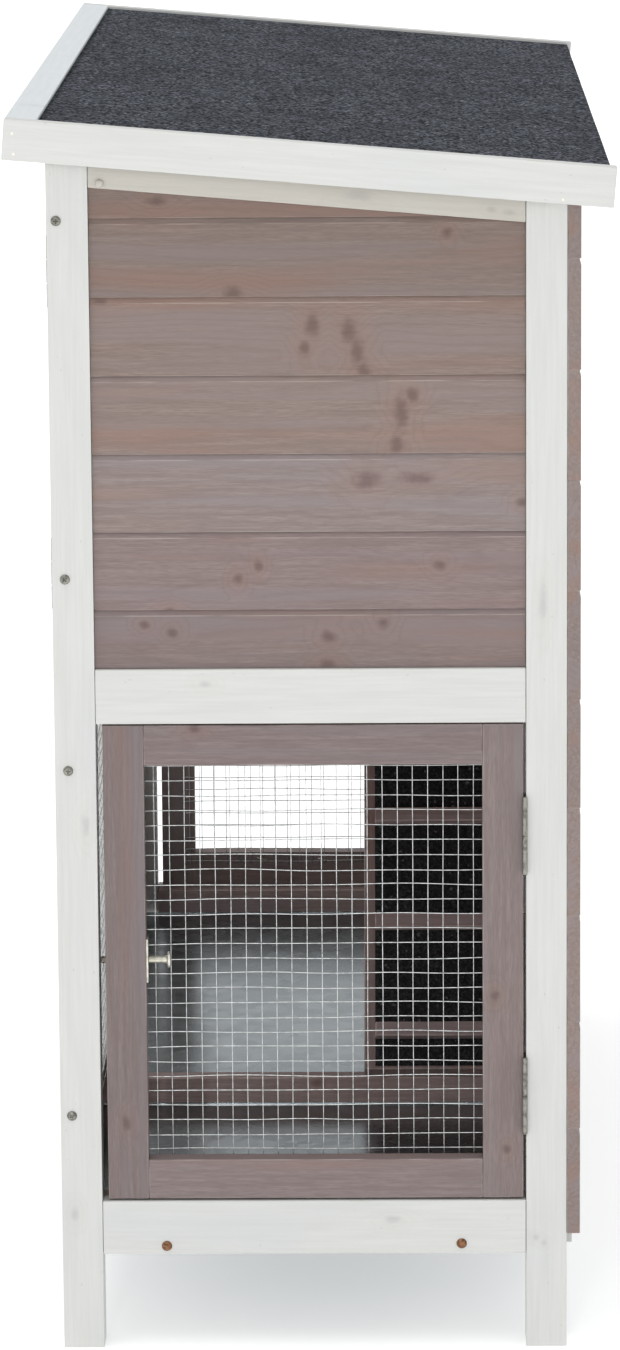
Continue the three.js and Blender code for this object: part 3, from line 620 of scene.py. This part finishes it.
# Colour multipliers from the bottom board up: each board's own tone, and on the top two boards painted shade from
# the roof overhang above them.
END_BOARD_TONES_AND_SHADE = [
    (0.87, 0.85, 0.87), (0.95, 0.92, 0.95), (1.03, 1.05, 1.07),
    (1.0, 0.96, 0.93), (0.96, 0.91, 0.87), (0.87, 0.83, 0.79), (0.84, 0.8, 0.77),
]


def board_edges(node, axis, face):
    """Heights where one board ends and the next begins, with the panel's foot and top."""
    in_the_seam = face - math.copysign(SEAM_DEPTH, face)
    vertices = [v.co for v in NODES[node].data.vertices]
    heights = [co.z for co in vertices if abs(co[axis] - in_the_seam) < 0.05 * MM]
    foot, top = spans(node)[Z]
    inside = sorted({round(z, 5) for z in heights if foot + MM < z < top - MM})
    seams = [z for z, after in zip(inside, inside[1:] + [math.inf]) if after - z > MM]
    return [foot, *seams, top]


def slice_between(bm, low, high):
    """Keeps what lies between two heights and closes the cuts."""
    for height, normal in ((low, (0, 0, -1)), (high, (0, 0, 1))):
        bmesh.ops.bisect_plane(
            bm, geom=bm.verts[:] + bm.edges[:] + bm.faces[:], dist=1e-7,
            plane_co=(0, 0, height), plane_no=normal, clear_outer=True,
        )
        rim = [e for e in bm.edges if e.is_boundary]
        if rim:
            bmesh.ops.edgeloop_fill(bm, edges=rim)
    bmesh.ops.dissolve_limit(bm, angle_limit=math.radians(1), verts=bm.verts, edges=bm.edges)


def clad(node, axis, face, knots=None, tints=None):
    """Splits a clad panel into its separate boards."""
    edges = board_edges(node, axis, face)
    for number, (low, high) in enumerate(zip(edges, edges[1:])):
        bm = from_node(node)
        slice_between(bm, low, high)
        name = f"{node}_board_{number + 1}"
        shift = random.Random(name).uniform(-TINT_SPREAD, TINT_SPREAD)
        tint = tints[number] if tints else (1 + shift, 1 + shift * 0.9, 1 + shift * 0.8)
        own = [on_right_face(*knot) for knot in knots[number]] if knots else None
        timber(name, bm, node, ease=0.45 * MM, knots=own, tint=tint)


clad("right_end_cladding", X, spans("right_end_cladding")[X][1], END_BOARD_KNOTS, END_BOARD_TONES_AND_SHADE)
clad("left_end_cladding", X, spans("left_end_cladding")[X][0])
clad("back_cladding", Y, spans("back_cladding")[Y][1])
clad("nest_door", Y, spans("nest_door")[Y][0])

# ---------------------------------------------------------------- framed panels

STICK = 34 * MM


def run_of(axis):
    """The level direction of a panel that faces along an axis."""
    return Y if axis == X else X


def framed(node, axis):
    """Four separate sticks where the CAD has a one-piece frame that faces along an axis."""
    extents = spans(node)
    run = run_of(axis)
    low, high = extents[run]
    inner = (low + STICK, high - STICK)
    foot, top = extents[Z]
    sticks = {
        "stile_1": {run: (low, low + STICK)},
        "stile_2": {run: (high - STICK, high)},
        "bottom_rail": {run: inner, Z: (foot, foot + STICK)},
        "top_rail": {run: inner, Z: (top - STICK, top)},
    }
    for part, changed in sticks.items():
        own = [changed.get(direction, extents[direction]) for direction in (X, Y, Z)]
        name = f"{node}_{part}"
        shift = random.Random(name).uniform(-TINT_SPREAD, TINT_SPREAD)
        tint = (0.94 + shift, 0.94 + shift, 0.95 + shift)
        timber(name, block(*own), node, ease=1.1 * MM, tint=tint)


framed("left_end_frame", X)
for node in ("lower_front_left_frame", "lower_front_right_frame", "mesh_door_frame"):
    framed(node, Y)

# ---------------------------------------------------------------- welded mesh and its staples

PITCH = 12.7 * MM
WIRE_RADIUS = 0.42 * MM
UPRIGHT_RADIUS = 0.36 * MM
WIRE_SIDES = 6
WELD_SINK = 0.12 * MM
STAPLE_PITCH = 78 * MM
STAPLE_CROWN = 10 * MM
STAPLE_WIRE = 0.55 * MM
STAPLE_RISE = 0.25 * MM
STAPLE_LEG = 1.5 * MM
STAPLE_INSET = 5 * MM
UPRIGHT_WAVER = 0.35 * MM
CROSSWIRE_WAVER = 1.5 * MM
CROSSWIRE_SEED = 50


def mesh_point(across, up, depth, axis):
    return Vector((depth, across, up)) if axis == X else Vector((across, depth, up))


def waver(seed, along, strength):
    """How far a wire strays from straight at a place along it."""
    return strength * noise.noise(Vector((along * 14, seed * 7.3, 0.5)))


def wire_places(span):
    """Places at the mesh's pitch, centred in a span."""
    low, high = span
    count = int((high - low - 2 * WIRE_RADIUS) / PITCH)
    spare = (high - low) - count * PITCH
    start = low + min(max(spare / 2, WIRE_RADIUS), spare - WIRE_RADIUS)
    return [start + i * PITCH for i in range(count + 1)]


def welded_mesh(node, axis):
    """Real wires at a 12.7 mm pitch: straight uprights, and crosswires that wander a little."""
    extents = spans(node)
    run = run_of(axis)
    depth = sum(extents[axis]) / 2
    offset = WIRE_RADIUS - WELD_SINK / 2
    bm = bmesh.new()
    for number, place in enumerate(wire_places(extents[run])):
        line = [(place + waver(number, z, UPRIGHT_WAVER), z) for z in steps(extents[Z], PITCH)]
        tube(bm, [mesh_point(a, z, depth - offset, axis) for a, z in line], UPRIGHT_RADIUS, WIRE_SIDES)
    for number, place in enumerate(wire_places(extents[Z])):
        seed = number + CROSSWIRE_SEED
        line = [(a, place + waver(seed, a, CROSSWIRE_WAVER)) for a in steps(extents[run], PITCH / 2)]
        tube(bm, [mesh_point(a, z, depth + offset, axis) for a, z in line], WIRE_RADIUS, WIRE_SIDES)
    add_piece(f"{node}_wires", bm, WIRE, BODIES[node], [node])


def staples(node, axis, inner_side):
    """Wire staples that hold a mesh panel to its frame, their crowns over the panel's rim."""
    extents = spans(node)
    run = run_of(axis)
    face = extents[axis][1 if inner_side > 0 else 0]
    crown = face + inner_side * STAPLE_RISE
    foot = face - inner_side * STAPLE_LEG
    draw = random.Random(f"{node} staples")
    bm = bmesh.new()

    def staple(across, up, level):
        half = STAPLE_CROWN / 2
        tilt = draw.uniform(-0.25, 0.25)
        reach = (half * math.cos(tilt), half * math.sin(tilt))
        if not level:
            reach = reach[::-1]
        ends = [(across - reach[0], up - reach[1]), (across + reach[0], up + reach[1])]
        line = [(ends[0], foot), (ends[0], crown), (ends[1], crown), (ends[1], foot)]
        tube(bm, [mesh_point(*place, depth, axis) for place, depth in line], STAPLE_WIRE, WIRE_SIDES)

    for along in steps(extents[run], STAPLE_PITCH)[1:-1]:
        for up in (extents[Z][0] + STAPLE_INSET, extents[Z][1] - STAPLE_INSET):
            staple(along + draw.uniform(-8, 8) * MM, up + draw.uniform(-1, 1) * MM, draw.random() < 0.8)
    for up in steps(extents[Z], STAPLE_PITCH)[1:-1]:
        for along in (extents[run][0] + STAPLE_INSET, extents[run][1] - STAPLE_INSET):
            staple(along + draw.uniform(-1, 1) * MM, up + draw.uniform(-8, 8) * MM, draw.random() < 0.2)
    add_piece(f"{node}_staples", bm, ZINC, BODIES[node])


END_MESHES = ("end_door_mesh", "left_end_mesh")
for node in [n for n in sorted(NODES) if n.endswith("_mesh")]:
    facing = X if node in END_MESHES else Y
    welded_mesh(node, facing)
    staples(node, facing, -1 if node == "end_door_mesh" else 1)

# ---------------------------------------------------------------- screws, nails and the peg

HEAD_RADIUS = 4.2 * MM
HEAD_HEIGHT = 2.2 * MM
HEAD_SINK = 0.3 * MM
RECESS_REACH = 2.3 * MM
RECESS_HALF_WIDTH = 0.95 * MM / 2
RECESS_DEPTH = 1.5 * MM
RECESS_TAPER = 0.6


def temporary(bm):
    """An object that only takes part in a cut."""
    bmesh.ops.recalc_face_normals(bm, faces=bm.faces)
    return mesh_object("temporary", bm)


def cross_recess():
    """The tapered cross that is cut into a screw head."""
    reach, half = RECESS_REACH, RECESS_HALF_WIDTH
    outline = [
        (-half, -reach), (half, -reach), (half, -half), (reach, -half), (reach, half), (half, half),
        (half, reach), (-half, reach), (-half, half), (-reach, half), (-reach, -half), (-half, -half),
    ]
    bm = bmesh.new()
    foot, top = HEAD_HEIGHT - RECESS_DEPTH, HEAD_HEIGHT + MM
    lower = [bm.verts.new((x * RECESS_TAPER, y * RECESS_TAPER, foot)) for x, y in outline]
    upper = [bm.verts.new((x, y, top)) for x, y in outline]
    bm.faces.new(lower[::-1])
    bm.faces.new(upper)
    join_rows(bm, [lower, upper], round_and_round=True, smooth=False)
    return bm


def cross_head():
    """A pan head on +Z with a cross recess."""
    angles = [math.radians(a) for a in (12, 30, 48, 64, 78)]
    curve = [(HEAD_HEIGHT * math.sin(a), HEAD_RADIUS * math.cos(a) ** 0.6) for a in angles]
    profile = [(-HEAD_SINK, 0), (-HEAD_SINK, HEAD_RADIUS), *curve, (HEAD_HEIGHT, 0)]
    bm = bmesh.new()
    lathe(bm, profile, Vector(), Vector((0, 0, 1)), 32)
    head = temporary(bm)
    tool = temporary(cross_recess())
    cut = head.modifiers.new("recess", "BOOLEAN")
    cut.operation = "DIFFERENCE"
    cut.solver = "EXACT"
    cut.object = tool
    graph = bpy.context.evaluated_depsgraph_get()
    done = bpy.data.meshes.new_from_object(head.evaluated_get(graph))
    for spare in (head, tool):
        bpy.data.objects.remove(spare)
    return done


def add_copy(bm, mesh, place, out, turn=0.0):
    """Adds a copy of a mesh with its +Z turned to `out`."""
    before = set(bm.verts)
    bm.from_mesh(mesh)
    made = [v for v in bm.verts if v not in before]
    facing = out.to_track_quat("Z", "Y").to_matrix().to_4x4()
    matrix = Matrix.Translation(place) @ facing @ Matrix.Rotation(turn, 4, "Z")
    bmesh.ops.transform(bm, matrix=matrix, verts=made)


def each_end(y, z):
    """The same place on the right end and on the left end, with the way out of each."""
    return [(Vector((side * right_face, y * MM, z * MM)), Vector((side, 0, 0))) for side in (1, -1)]


CROSS_HEAD = cross_head()

# Places on an end, as (Y, Z) in millimetres.
POST_SCREWS = [(-207, 957.5), (-204.2, 660.8), (-204, 499.3), (-205.4, 203.1)]
bm = bmesh.new()
for number, (y, z) in enumerate(POST_SCREWS):
    for place, out in each_end(y, z):
        add_copy(bm, CROSS_HEAD, place, out, turn=0.7 * number)
add_piece("post_screws", bm, HINGE, "frame")

BEARER_SCREWS = [(-127, 89.2), (121.6, 90.7)]
BEARER_SCREW_HEAD = domed(4.4 * MM, 2.6 * MM, HEAD_SINK, 15)
bm = bmesh.new()
for y, z in BEARER_SCREWS:
    for place, out in each_end(y, z):
        lathe(bm, BEARER_SCREW_HEAD, place, out)
add_piece("bearer_screws", bm, BRONZE, "frame")

FASCIA_NAILS = [(-240.2, 1031), (-239.3, 1014.2), (205.9, 974.4)]
NAIL_HEAD = [
    (-0.4 * MM, 0), (-0.4 * MM, 1.5 * MM), (0.24 * MM, 1.5 * MM), (0.4 * MM, 1.05 * MM), (0.4 * MM, 0),
]
nailed_face = spans("roof_right_fascia")[X][1] - 0.3 * MM
bm = bmesh.new()
for y, z in FASCIA_NAILS:
    for side in (1, -1):
        lathe(bm, NAIL_HEAD, Vector((side * nailed_face, y * MM, z * MM)), Vector((side, 0, 0)), 12)
add_piece("fascia_nails", bm, ZINC, "roof")

PEG_END = [(-MM, 0), (-MM, 3.2 * MM), (2.2 * MM, 3.2 * MM), (3 * MM, 2.24 * MM), (3.2 * MM, 0)]
bm = bmesh.new()
for place, out in each_end(-171, 988):
    lathe(bm, PEG_END, place, out)
write_grain(bm, "rail_pegs", Vector((1, 0, 0)), [], OVERHANG_SHADE_WHITE)
add_piece("rail_pegs", bm, PAINT, "frame")

# ---------------------------------------------------------------- bolt and hinges

ROD_RADIUS = 2.9 * MM
KNOB_THICK = 2.9 * MM


def turned_bolt():
    """The rod, chamfered at its tip and swelling into a disc knob."""
    x, y, z = spans("bolt")
    length = y[1] - y[0]
    knob = length - KNOB_THICK
    knob_radius = (x[1] - x[0]) / 2
    profile = [
        (0, 0), (0, ROD_RADIUS * 0.6), (0.8 * MM, ROD_RADIUS), (knob - 2 * MM, ROD_RADIUS),
        (knob - 0.6 * MM, ROD_RADIUS * 1.25), (knob, ROD_RADIUS * 1.4),
        (knob + 0.2 * MM, knob_radius * 0.9), (knob + 0.7 * MM, knob_radius),
        (length - 0.7 * MM, knob_radius), (length - 0.15 * MM, knob_radius * 0.9),
        (length, knob_radius * 0.6), (length, 0),
    ]
    bm = bmesh.new()
    lathe(bm, profile, Vector((sum(x) / 2, y[0], sum(z) / 2)), Vector((0, 1, 0)), 32)
    return bm


add_piece("bolt_turned", turned_bolt(), ZINC, "bolt", ["bolt"])

for node in NODES:
    if SLOTS[node] == "zinc_steel" and node != "bolt":
        refinish(node, HINGE if node.startswith("hinge") else ZINC)

PIN_HEAD = domed(2.0 * MM, 0.9 * MM, 0.2 * MM, 18)
hinge_axis = Vector(JOINTS["end_door_hinge"]["pos_m"])
bm = bmesh.new()
for node in ("hinge_post_leaf_lower", "hinge_post_leaf_upper"):
    foot, top = spans(node)[Z]
    for height, out in ((foot, -1), (top, 1)):
        lathe(bm, PIN_HEAD, Vector((*hinge_axis.xy, height)), Vector((0, 0, out)), 16)
add_piece("end_door_pin_heads", bm, HINGE, "frame")

KNUCKLE_RADIUS = 2.0 * MM
KNUCKLE_EASE = 0.3 * MM
KNUCKLE_GAP = 0.4 * MM
HINGE_HEIGHT = 60 * MM
# Where the hinges stand along each joint's axis, in metres.
HINGE_PLACES = {
    "mesh_door_hinge": (0.66, 0.912),
    "nest_door_hinge": (0.66, 0.912),
    "roof_hinge": (-0.42, 0.42),
    "ramp_hinge": (0.072, 0.14),
}


def knuckles(joint, places):
    """Barrels of butt hinges on a joint's axis: two knuckles on the frame, one on the child."""
    child = JOINTS[joint]["child"]
    axis = Vector([abs(share) for share in JOINTS[joint]["axis"]])
    pivot = Vector(JOINTS[joint]["pos_m"])
    pivot -= axis * pivot.dot(axis)
    third = HINGE_HEIGHT / 3
    length = third - KNUCKLE_GAP
    barrel = [
        (0, 0), (0, KNUCKLE_RADIUS * 0.85), (KNUCKLE_EASE, KNUCKLE_RADIUS),
        (length - KNUCKLE_EASE, KNUCKLE_RADIUS), (length, KNUCKLE_RADIUS * 0.85), (length, 0),
    ]
    parts = {"frame": bmesh.new(), child: bmesh.new()}
    for place in places:
        foot = place - HINGE_HEIGHT / 2 + KNUCKLE_GAP / 2
        for number, body in enumerate(("frame", child, "frame")):
            lathe(parts[body], barrel, pivot + axis * (foot + number * third), axis, 16)
    for body, own in parts.items():
        add_piece(f"{joint}_{body}_knuckles", own, HINGE, body)


for joint, places in HINGE_PLACES.items():
    knuckles(joint, places)

# ---------------------------------------------------------------- turn button

button = spans("turn_button")
bm = block(*button)
corners = [e for e in bm.edges if abs((e.verts[0].co - e.verts[1].co).normalized().y) > 0.9]
bmesh.ops.bevel(
    bm, geom=corners, offset=7 * MM, offset_type="OFFSET", segments=6, profile=0.5, affect="EDGES",
)
timber("turn_button_wood", bm, "turn_button", ease=1.2 * MM, along=Vector((0, 0, 1)), knots=[])
bm = bmesh.new()
button_height = JOINTS["turn_button_turn"]["pos_m"][Z]
add_copy(bm, CROSS_HEAD, Vector((0, button[Y][0], button_height)), Vector((0, -1, 0)), turn=0.4)
add_piece("turn_button_screw", bm, ZINC, "turn_button")

# ---------------------------------------------------------------- roof covering

FELT_FOLD = 16 * MM
FELT_SHEET = 1.44 * MM
FELT_GRID = 9 * MM
FELT_EDGE = 25 * MM
FELT_OVERHANG = 1.2 * MM
FOLD_ROWS = (0.25, 0.6, 1.0)
felt_x, felt_y, felt_z = spans("roof_felt")
refinish("roof_deck", DECK)


def roof_height(y):
    """Height of the felt's top face at depth y."""
    return felt_z[1] - (y - felt_y[0]) * math.tan(ROOF_PITCH)


def felt_sheet():
    """The felt: slightly uneven over the deck and turned down over its back edge."""
    across = steps(felt_x, FELT_GRID)
    bm = bmesh.new()
    rows = []
    for y in steps((felt_y[0], felt_y[1] - 0.4 * MM), FELT_GRID):
        row = []
        for x in across:
            edge = min(x - felt_x[0], felt_x[1] - x, y - felt_y[0]) / FELT_EDGE
            lift = 0.5 * noise.noise(Vector((x * 7, y * 11, 2.0)))
            lift += 0.25 * noise.noise(Vector((x * 25, y * 30, 5.0)))
            height = roof_height(y) + (lift - 0.35) * MM * min(1, max(0.15, edge))
            row.append(bm.verts.new((x, y, height)))
        rows.append(row)
    y = felt_y[1] + FELT_OVERHANG
    for share in FOLD_ROWS:
        height = roof_height(y) - share * FELT_FOLD
        wave = [1.2 * MM * noise.noise(Vector((x * 9, share, 8.0))) * share for x in across]
        rows.append([bm.verts.new((x, y + w * 0.5, height + w)) for x, w in zip(across, wave)])
    join_rows(bm, rows)
    shell = bmesh.ops.solidify(bm, geom=bm.faces[:], thickness=FELT_SHEET)
    for element in shell["geom"]:
        if isinstance(element, bmesh.types.BMFace):
            element.smooth = True
    return bm


add_piece("roof_felt_sheet", felt_sheet(), ROOF_FELT, "roof", ["roof_felt"])

# ---------------------------------------------------------------- ramp

RAMP_ANGLE = math.radians(45)
RAMP_THICK = 12 * MM
CLEAT_PITCH = 116 * MM
FIRST_CLEAT = 38 * MM
CLEAT_WIDTH = 15 * MM
CLEAT_HEIGHT = 8 * MM
RAMP_MARGIN = 10 * MM
ramp_x, ramp_y, ramp_z = spans("ramp")
ramp_foot = Vector((ramp_x[1], 0, ramp_z[0] + RAMP_THICK * math.cos(RAMP_ANGLE)))
up_the_ramp = Vector((-math.cos(RAMP_ANGLE), 0, math.sin(RAMP_ANGLE)))
off_the_ramp = Vector((math.sin(RAMP_ANGLE), 0, math.cos(RAMP_ANGLE)))
ramp_length = (ramp_z[1] - ramp_foot.z) / math.sin(RAMP_ANGLE)


def on_the_ramp(along, y, rise):
    """A point from its way up the ramp, its row Y and its height off the ramp's face."""
    return ramp_foot + up_the_ramp * along + Vector((0, y, 0)) + off_the_ramp * rise


def ramp_block(along, y, rise):
    """A straight block that lies along the ramp."""
    bm = block(along, y, rise)
    for vert in bm.verts:
        vert.co = on_the_ramp(*vert.co)
    bmesh.ops.recalc_face_normals(bm, faces=bm.faces)
    return bm


ramp_board = ramp_block((0, ramp_length), ramp_y, (-RAMP_THICK, 0))
# Painted light: the ramp board is brightened past the stain's own colour, for the light that reaches into the run.
timber("ramp_board", ramp_board, "ramp", ease=1.0 * MM, along=up_the_ramp, tint=(1.3, 1.22, 1.25))
cleat_count = math.ceil((ramp_length - 2 * CLEAT_WIDTH - FIRST_CLEAT) / CLEAT_PITCH)
for number in range(cleat_count):
    middle = FIRST_CLEAT + number * CLEAT_PITCH
    run = (middle - CLEAT_WIDTH / 2, middle + CLEAT_WIDTH / 2)
    cleat = ramp_block(run, (ramp_y[0] + RAMP_MARGIN, ramp_y[1]), (0.9 * MM, CLEAT_HEIGHT))
    # Painted light: the cleats are brightened past the stain's own colour, more than the board, for the light on
    # them inside the run.
    timber(
        f"ramp_cleat_{number + 1}", cleat, "ramp", ease=1.2 * MM,
        along=Vector((0, 1, 0)), knots=[], tint=(1.5, 1.42, 1.46),
    )


def ramp_felt():
    """A strip of felt glued to the ramp under its cleats, slightly uneven."""
    bm = bmesh.new()
    across = steps((ramp_y[0] + RAMP_MARGIN, ramp_y[1] - 0.4 * MM), 10 * MM)
    rows = []
    for u in steps((3 * MM, ramp_length - 4 * MM), 10 * MM):
        lift = [(1.6 + 0.35 * noise.noise(Vector((u * 20, y * 30, 3.0)))) * MM for y in across]
        rows.append([bm.verts.new(on_the_ramp(u, y, rise)) for y, rise in zip(across, lift)])
    join_rows(bm, rows)
    bmesh.ops.recalc_face_normals(bm, faces=bm.faces)
    bmesh.ops.solidify(bm, geom=bm.faces[:], thickness=1.2 * MM)
    return bm


add_piece("ramp_felt_strip", ramp_felt(), RAMP_FELT, "ramp")

# ---------------------------------------------------------------- trays

TRAY_SHEET = 0.7 * MM
TRAY_WALL = 3 * MM
TRAY_FOLD = 1.0 * MM
RIM_RADIUS = 0.5 * MM
TRAY_GRID = 14 * MM
TRAY_EDGE = 40 * MM
TRAY_UNEVENNESS = 0.5 * MM


def way_out(value, span):
    """1 at a span's high end, -1 at its low end and 0 between them."""
    touch = 1e-6
    return (value > span[1] - touch) - (value < span[0] + touch)


def tray_floor(bm, inner_x, inner_y, height):
    """A slightly uneven floor. Gives back its border in order, and each border point's way out."""
    grid = []
    for y in steps(inner_y, TRAY_GRID):
        row = []
        for x in steps(inner_x, TRAY_GRID):
            edge = min(x - inner_x[0], inner_x[1] - x, y - inner_y[0], inner_y[1] - y)
            swell = 1 + noise.noise(Vector((x * 7, y * 7, inner_x[0] * 3)))
            lift = TRAY_UNEVENNESS * min(1.0, edge / TRAY_EDGE) * swell
            row.append(bm.verts.new((x, y, height + lift)))
        grid.append(row)
    join_rows(bm, grid, smooth=False)
    right_side, left_side = [row[-1] for row in grid[1:]], [row[0] for row in grid[-2:0:-1]]
    border = grid[0] + right_side + grid[-1][-2::-1] + left_side
    outward = [Vector((way_out(v.co.x, inner_x), way_out(v.co.y, inner_y), 0)) for v in border]
    return border, outward


def tray(node):
    """One folded sheet: the floor, low upstands, a tall front lip and a rolled rim."""
    x, y, z = spans(node)
    floor = z[0] + TRAY_SHEET / 2
    margin = TRAY_SHEET / 2 + TRAY_FOLD
    inner_x, inner_y = ((low + margin, high - margin) for low, high in (x, y))
    bm = bmesh.new()
    border, outward = tray_floor(bm, inner_x, inner_y, floor)
    foot = [v.co.copy() for v in border]
    heights = [(z[1] if way.y < 0 else z[0] + TRAY_WALL) - RIM_RADIUS for way in outward]
    loops = [border]
    for angle in (math.radians(a) for a in (30, 60, 90)):
        out, up = TRAY_FOLD * math.sin(angle), TRAY_FOLD * (1 - math.cos(angle))
        loops.append([bm.verts.new(at + way * out + Vector((0, 0, up))) for at, way in zip(foot, outward)])
    top = [Vector((*v.co.xy, height)) for v, height in zip(loops[-1], heights)]
    loops.append([bm.verts.new(at) for at in top])
    join_rows(bm, loops, round_and_round=True, smooth=False)
    bmesh.ops.recalc_face_normals(bm, faces=bm.faces)
    bmesh.ops.solidify(bm, geom=bm.faces[:], thickness=TRAY_SHEET / 2)
    for face in bm.faces:
        face.smooth = True
    tube(bm, top + top[:1], RIM_RADIUS, 8)
    add_piece(f"{node}_sheet", bm, SHEET, node, [node])


tray("tray_large")
tray("tray_small")

# ---------------------------------------------------------------- studio

FLOOR_HALF = 40.0
SKY = (0.97, 0.985, 1.0, 1)
SKY_STRENGTH = 0.74
KEY_FROM = Vector((0.12, -0.16, 1.0))
STRIP_AT = Vector((5.0, -0.55, 2.0))
STRIP_AIM = Vector((0.5, 0, 0.4))


def add_lamp(name, kind, toward, energy, **settings):
    """A lamp that shines against the direction `toward`."""
    light = bpy.data.lights.new(name, kind)
    light.energy = energy
    for key, value in settings.items():
        setattr(light, key, value)
    lamp = add_object(name, light)
    lamp.rotation_mode = "QUATERNION"
    lamp.rotation_quaternion = toward.to_track_quat("Z", "Y")
    return lamp


def studio():
    """A pale floor, an even sky, one broad soft lamp and a narrow strip that glints on metal."""
    bm = bmesh.new()
    corners = [(-1, -1), (1, -1), (1, 1), (-1, 1)]
    bm.faces.new([bm.verts.new((x * FLOOR_HALF, y * FLOOR_HALF, 0)) for x, y in corners])
    mesh_object("floor", bm, studio_floor())

    world = bpy.data.worlds.new("studio")
    bpy.context.scene.world = world
    world.use_nodes = True
    sky = world.node_tree.nodes["Background"].inputs
    sky["Color"].default_value = SKY
    sky["Strength"].default_value = SKY_STRENGTH

    add_lamp("soft_key", "SUN", KEY_FROM, 0.8, angle=math.radians(50), color=(1.0, 0.985, 0.96))
    strip = add_lamp("strip", "AREA", STRIP_AT - STRIP_AIM, 21, shape="RECTANGLE", size=0.05, size_y=1.6)
    strip.location = STRIP_AT
    bpy.context.scene.view_settings.view_transform = "Standard"


CAMERA_AT = Vector((5.2093, 0.0692, 1.4868))
CAMERA_YAW = math.radians(0.891)
CAMERA_PITCH = math.radians(11.11)
CAMERA_ROLL = math.radians(-0.44)
CAMERA_LENS_MM = 151.83
SENSOR_MM = 36
CAMERA_REACH = 200


def camera():
    """Stands level with the roof, well back from the right end, and looks down a little."""
    level = math.cos(CAMERA_PITCH)
    ahead = Vector((-level * math.cos(CAMERA_YAW), -level * math.sin(CAMERA_YAW), -math.sin(CAMERA_PITCH)))
    right = ahead.cross(Vector((0, 0, 1))).normalized()
    up = right.cross(ahead)
    across = math.cos(CAMERA_ROLL) * right + math.sin(CAMERA_ROLL) * up
    upward = math.cos(CAMERA_ROLL) * up - math.sin(CAMERA_ROLL) * right
    lens = bpy.data.cameras.new("camera")
    lens.lens = CAMERA_LENS_MM
    lens.sensor_width = SENSOR_MM
    lens.clip_end = CAMERA_REACH
    eye = add_object("camera", lens)
    turn = Matrix((across, upward, -ahead)).transposed().to_4x4()
    eye.matrix_world = Matrix.Translation(CAMERA_AT) @ turn
    bpy.context.scene.camera = eye


studio()
camera()
